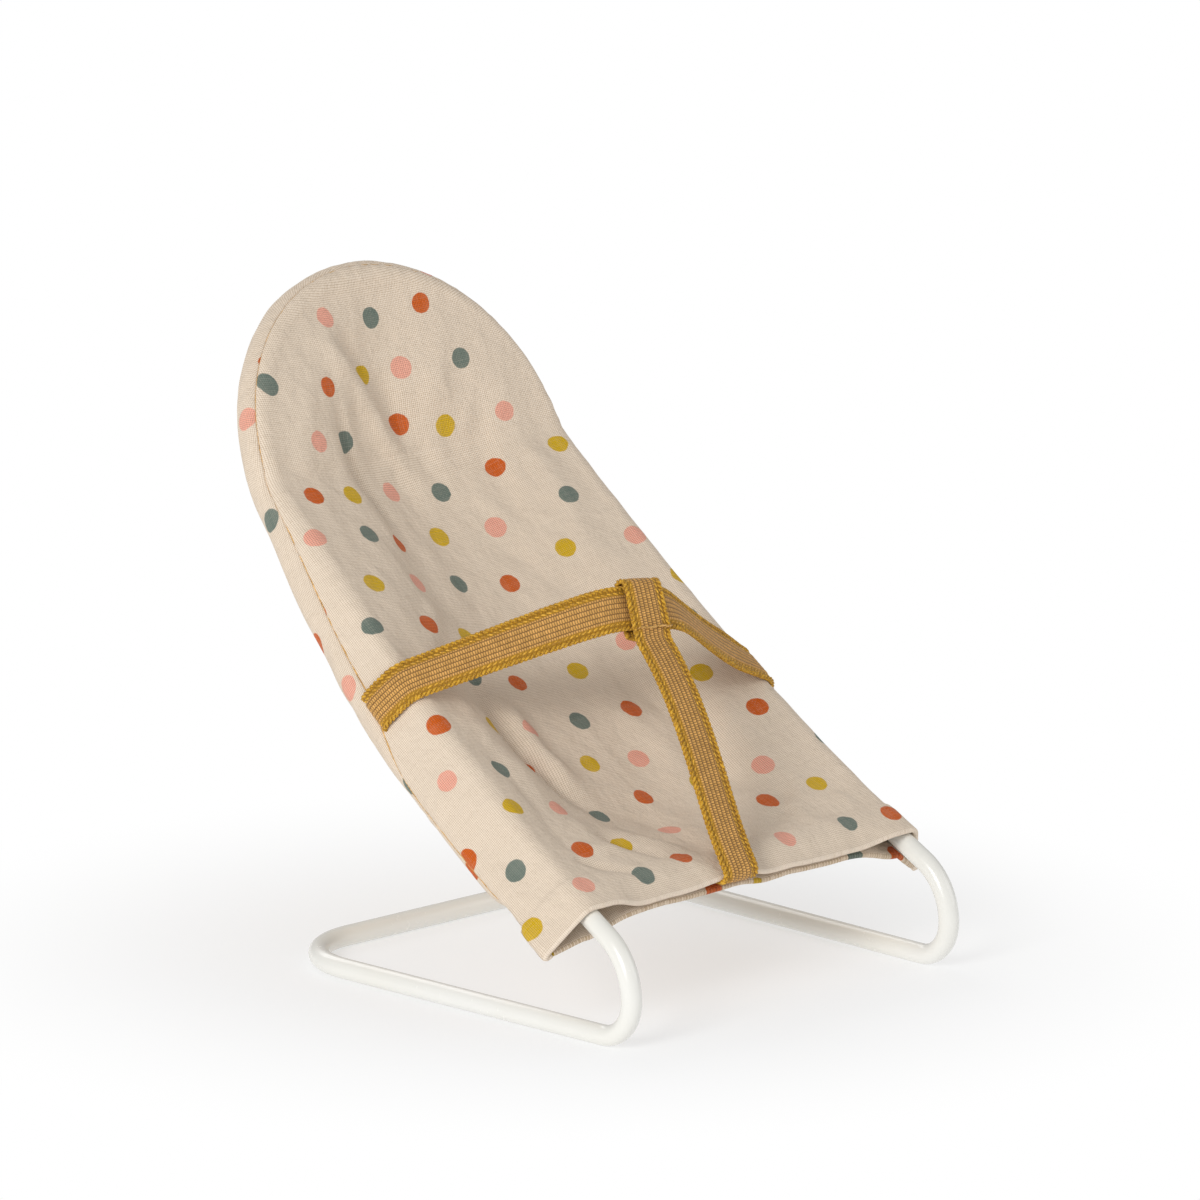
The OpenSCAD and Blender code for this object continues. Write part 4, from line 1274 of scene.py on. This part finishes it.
class BOUNCER_OT_belt(bpy.types.Operator):
    """Lay the waist belt over both rails"""
    bl_idname = "bouncer.belt"
    bl_label = "Belt"

    def execute(self, context):
        harness = HarnessShape(SeatShape())
        mesh = webbing_mesh("belt", harness.belt_route(), harness.h.thickness)
        piece = finished("belt", mesh, webbing_materials())
        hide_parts("waist_belt", "belt_end_left", "belt_end_right")
        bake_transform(piece)
        return {"FINISHED"}


class BOUNCER_OT_strap(bpy.types.Operator):
    """Loop the crotch strap round the belt and sew it into the mouth"""
    bl_idname = "bouncer.strap"
    bl_label = "Crotch strap"

    def execute(self, context):
        harness = HarnessShape(SeatShape())
        route = harness.strap_route()
        mesh = webbing_mesh("strap", route, harness.h.thickness)
        piece = finished("strap", mesh, webbing_materials())
        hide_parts("crotch_strap", "crotch_loop")
        lip = harness.seat.middle(np.array([harness.seat.c.mouth]))[0]
        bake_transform(piece)
        return {"FINISHED"}


def webbing_materials():
    c = settings("colours")
    return [shared("webbing_tape", tape_material),
            shared("webbing_cord", lambda: strand_material("webbing_cord", c.cord)),
            shared("webbing_chain", lambda: strand_material("webbing_chain", c.chain, 0.5))]


# ---------------------------------------------------------------- threads
class BOUNCER_OT_threads(bpy.types.Operator):
    """Sew the side seam and the bar that closes the loop"""
    bl_idname = "bouncer.threads"
    bl_label = "Threads"

    THREAD = 0.16 * MM                 # its radius
    SPACING, STITCH = 0.4 * MM, 7      # from point to point, and points in a stitch
    SUNK = 0.08 * MM                   # how far the seam's thread lies in the cloth
    BAR_STITCHES, BAR_WIDTH, BAR_STITCH = 11, 0.78, 0.9 * MM

    def execute(self, context):
        seat = SeatShape()
        thread = shared("seam_thread", lambda: strand_material("seam_thread", settings("colours").thread))
        s = np.arange(seat.c.mouth + 0.6 * MM, seat.reach, self.SPACING)
        front, _ = seat.front_sheet(s)
        off = unit(np.cross(np.gradient(front[:, 0], axis=0), front[:, 1] - front[:, 0])) * self.SUNK
        line = front[:, 0] - off
        both = np.concatenate([line, line[-2::-1] * [-1, 1, 1]])
        seam = tube_mesh("seam_thread", self.stitches(both, self.STITCH), self.THREAD)
        finished("seam_thread", seam, [thread], "seat")
        harness = HarnessShape(seat)
        bar = tube_mesh("loop_thread", self.bar_tack(harness), self.THREAD)
        tack = finished("loop_thread", bar, [thread], "belt")
        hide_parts("loop_tack")
        return {"FINISHED"}

    @staticmethod
    def stitches(line, run):
        """Cuts a line into stitches of run points, each from the last point of the one before."""
        return [line[i:i + run] for i in range(0, len(line) - run, run - 1)]

    def bar_tack(self, harness):
        """Short stitches side by side across the loop, each a little out of line."""
        h = harness.h
        centre = harness.centre - harness.wide * (h.width / 2 + h.loop_gap * 0.2)
        face = harness.out * (h.thickness * 1.5 + h.loop_gap + 0.05 * MM)
        sunk, crown = harness.out * 0.3 * MM, harness.out * 0.12 * MM
        rng = random.Random(4)
        rows = []
        for k in range(self.BAR_STITCHES):
            x = (k / (self.BAR_STITCHES - 1) - 0.5) * h.width * self.BAR_WIDTH
            lift = harness.wide * rng.uniform(-0.12, 0.12) * MM
            a = centre + harness.run * x + face + lift
            b = a + harness.run * self.BAR_STITCH + harness.wide * 0.25 * MM
            rows.append(np.array([a - sunk, a, mix(a, b, 0.5) + crown, b, b - sunk]))
        return rows


# ---------------------------------------------------------------- stage
class BOUNCER_OT_stage(bpy.types.Operator):
    """Set the floor, the soft lights and the camera"""
    bl_idname = "bouncer.stage"
    bl_label = "Stage"

    AZIMUTH, ELEVATION = math.radians(-44.3), math.radians(14.83)
    DISTANCE, LENS = 1.8, 280.8
    AIM_LEFT, AIM_UP = 3.46 * MM, 70.2 * MM
    FLOOR_RADIUS = 6
    FADE, SHADOW_SHARE = (0.03, 0.14), 0.45    # the floor goes over to plain white this far from the middle
    SOFT_LIGHT = 0.44
    # each lamp's name, place, power and size
    LAMPS = (("key", (-1.0, -0.34, 0.50), 7.1, 0.42),
             ("fill", (0.60, -0.70, 0.45), 1.6, 0.7),
             ("rim", (0.25, 0.85, 0.75), 2.2, 0.6))

    def execute(self, context):
        self.floor()
        self.lights(context.scene)
        self.camera(context.scene)
        return {"FINISHED"}

    def camera(self, scene):
        a, e = self.AZIMUTH, self.ELEVATION
        back = Vector((math.sin(a) * math.cos(e), -math.cos(a) * math.cos(e), math.sin(e)))
        right = Vector((math.cos(a), math.sin(a), 0))
        up = back.cross(right)
        seat = SeatShape()
        target = Vector((0, seat.front + seat.w.base_depth / 2, 0))
        data = bpy.data.cameras.new("camera")
        data.lens = self.LENS
        data.clip_start, data.clip_end = 0.01, 20
        camera = bpy.data.objects.new("camera", data)
        scene.collection.objects.link(camera)
        camera.location = target + back * self.DISTANCE
        aim = target - right * self.AIM_LEFT + up * self.AIM_UP - camera.location
        camera.rotation_euler = aim.to_track_quat("-Z", "Y").to_euler()
        scene.camera = camera

    def floor(self):
        bm = bmesh.new()
        bmesh.ops.create_circle(bm, cap_ends=True, segments=64, radius=self.FLOOR_RADIUS)
        mesh = mesh_from(bm, "floor")
        material, n, shader = new_material("studio_floor", Roughness=0.9, Specular_IOR_Level=0.1)
        shader.inputs["Base Color"].default_value = tinted(settings("colours").floor)
        place = n.add("ShaderNodeTexCoord").outputs["Object"]
        glow = n.add("ShaderNodeEmission", {"Color": (1, 1, 1, 1), "Strength": 1.0})
        fade = n.spread(n.length(place), *self.FADE, self.SHADOW_SHARE, 1.0)
        joined = n.add("ShaderNodeMixShader", {0: fade})
        n.put(joined.inputs[1], shader.outputs[0])
        n.put(joined.inputs[2], glow.outputs[0])
        n.put(material.node_tree.nodes["Material Output"].inputs["Surface"], joined.outputs[0])
        finished("floor", mesh, [material])

    def lights(self, scene):
        world = bpy.data.worlds.new("studio")
        world.use_nodes = True
        n = Nodes(world.node_tree)
        soft = world.node_tree.nodes["Background"]
        soft.inputs["Color"].default_value = (1, 1, 1, 1)
        soft.inputs["Strength"].default_value = self.SOFT_LIGHT
        white = n.add("ShaderNodeBackground", {"Color": (1, 1, 1, 1), "Strength": 1.0})
        path = n.add("ShaderNodeLightPath")
        seen = n.math("MAXIMUM", path.outputs["Is Camera Ray"], path.outputs["Is Transmission Ray"])
        joined = n.add("ShaderNodeMixShader", {0: seen})
        n.put(joined.inputs[1], soft.outputs[0])
        n.put(joined.inputs[2], white.outputs[0])
        n.put(world.node_tree.nodes["World Output"].inputs["Surface"], joined.outputs[0])
        scene.world = world
        middle = Vector((0, 0, 60 * MM))
        for name, place, power, size in self.LAMPS:
            data = bpy.data.lights.new(name, "AREA")
            data.energy, data.size = power, size
            lamp = bpy.data.objects.new(name, data)
            scene.collection.objects.link(lamp)
            lamp.location = place
            lamp.rotation_euler = (middle - lamp.location).to_track_quat("-Z", "Y").to_euler()
        scene.view_settings.view_transform = "Standard"


# ---------------------------------------------------------------- panel and main
class BOUNCER_PT_panel(bpy.types.Panel):
    """The seat's pieces, in the order they are made"""
    bl_idname = "BOUNCER_PT_panel"
    bl_label = "Bouncer Seat"
    bl_space_type = "VIEW_3D"
    bl_region_type = "UI"
    bl_category = "Bouncer Seat"

    def draw(self, context):
        for operator in PIECES:
            self.layout.operator(operator.bl_idname)


PIECES = (BOUNCER_OT_stage, BOUNCER_OT_wire, BOUNCER_OT_cover, BOUNCER_OT_belt, BOUNCER_OT_strap,
          BOUNCER_OT_threads)
GROUPS = {"wire": WireSizes, "cover": CoverSizes, "harness": HarnessSizes, "colours": SeatColours}
CLASSES = (*GROUPS.values(), *PIECES, BOUNCER_PT_panel)


def register():
    for cls in CLASSES:
        bpy.utils.register_class(cls)
    for name, cls in GROUPS.items():
        setattr(bpy.types.Scene, "bouncer_" + name, bpy.props.PointerProperty(type=cls))


def unregister():
    for name in GROUPS:
        delattr(bpy.types.Scene, "bouncer_" + name)
    for cls in reversed(CLASSES):
        bpy.utils.unregister_class(cls)


def main():
    register()
    bpy.ops.bouncer.stage()
    bpy.ops.bouncer.wire()
    bpy.ops.bouncer.cover()
    bpy.ops.bouncer.belt()
    bpy.ops.bouncer.strap()
    bpy.ops.bouncer.threads()


if __name__ == "__main__":
    main()
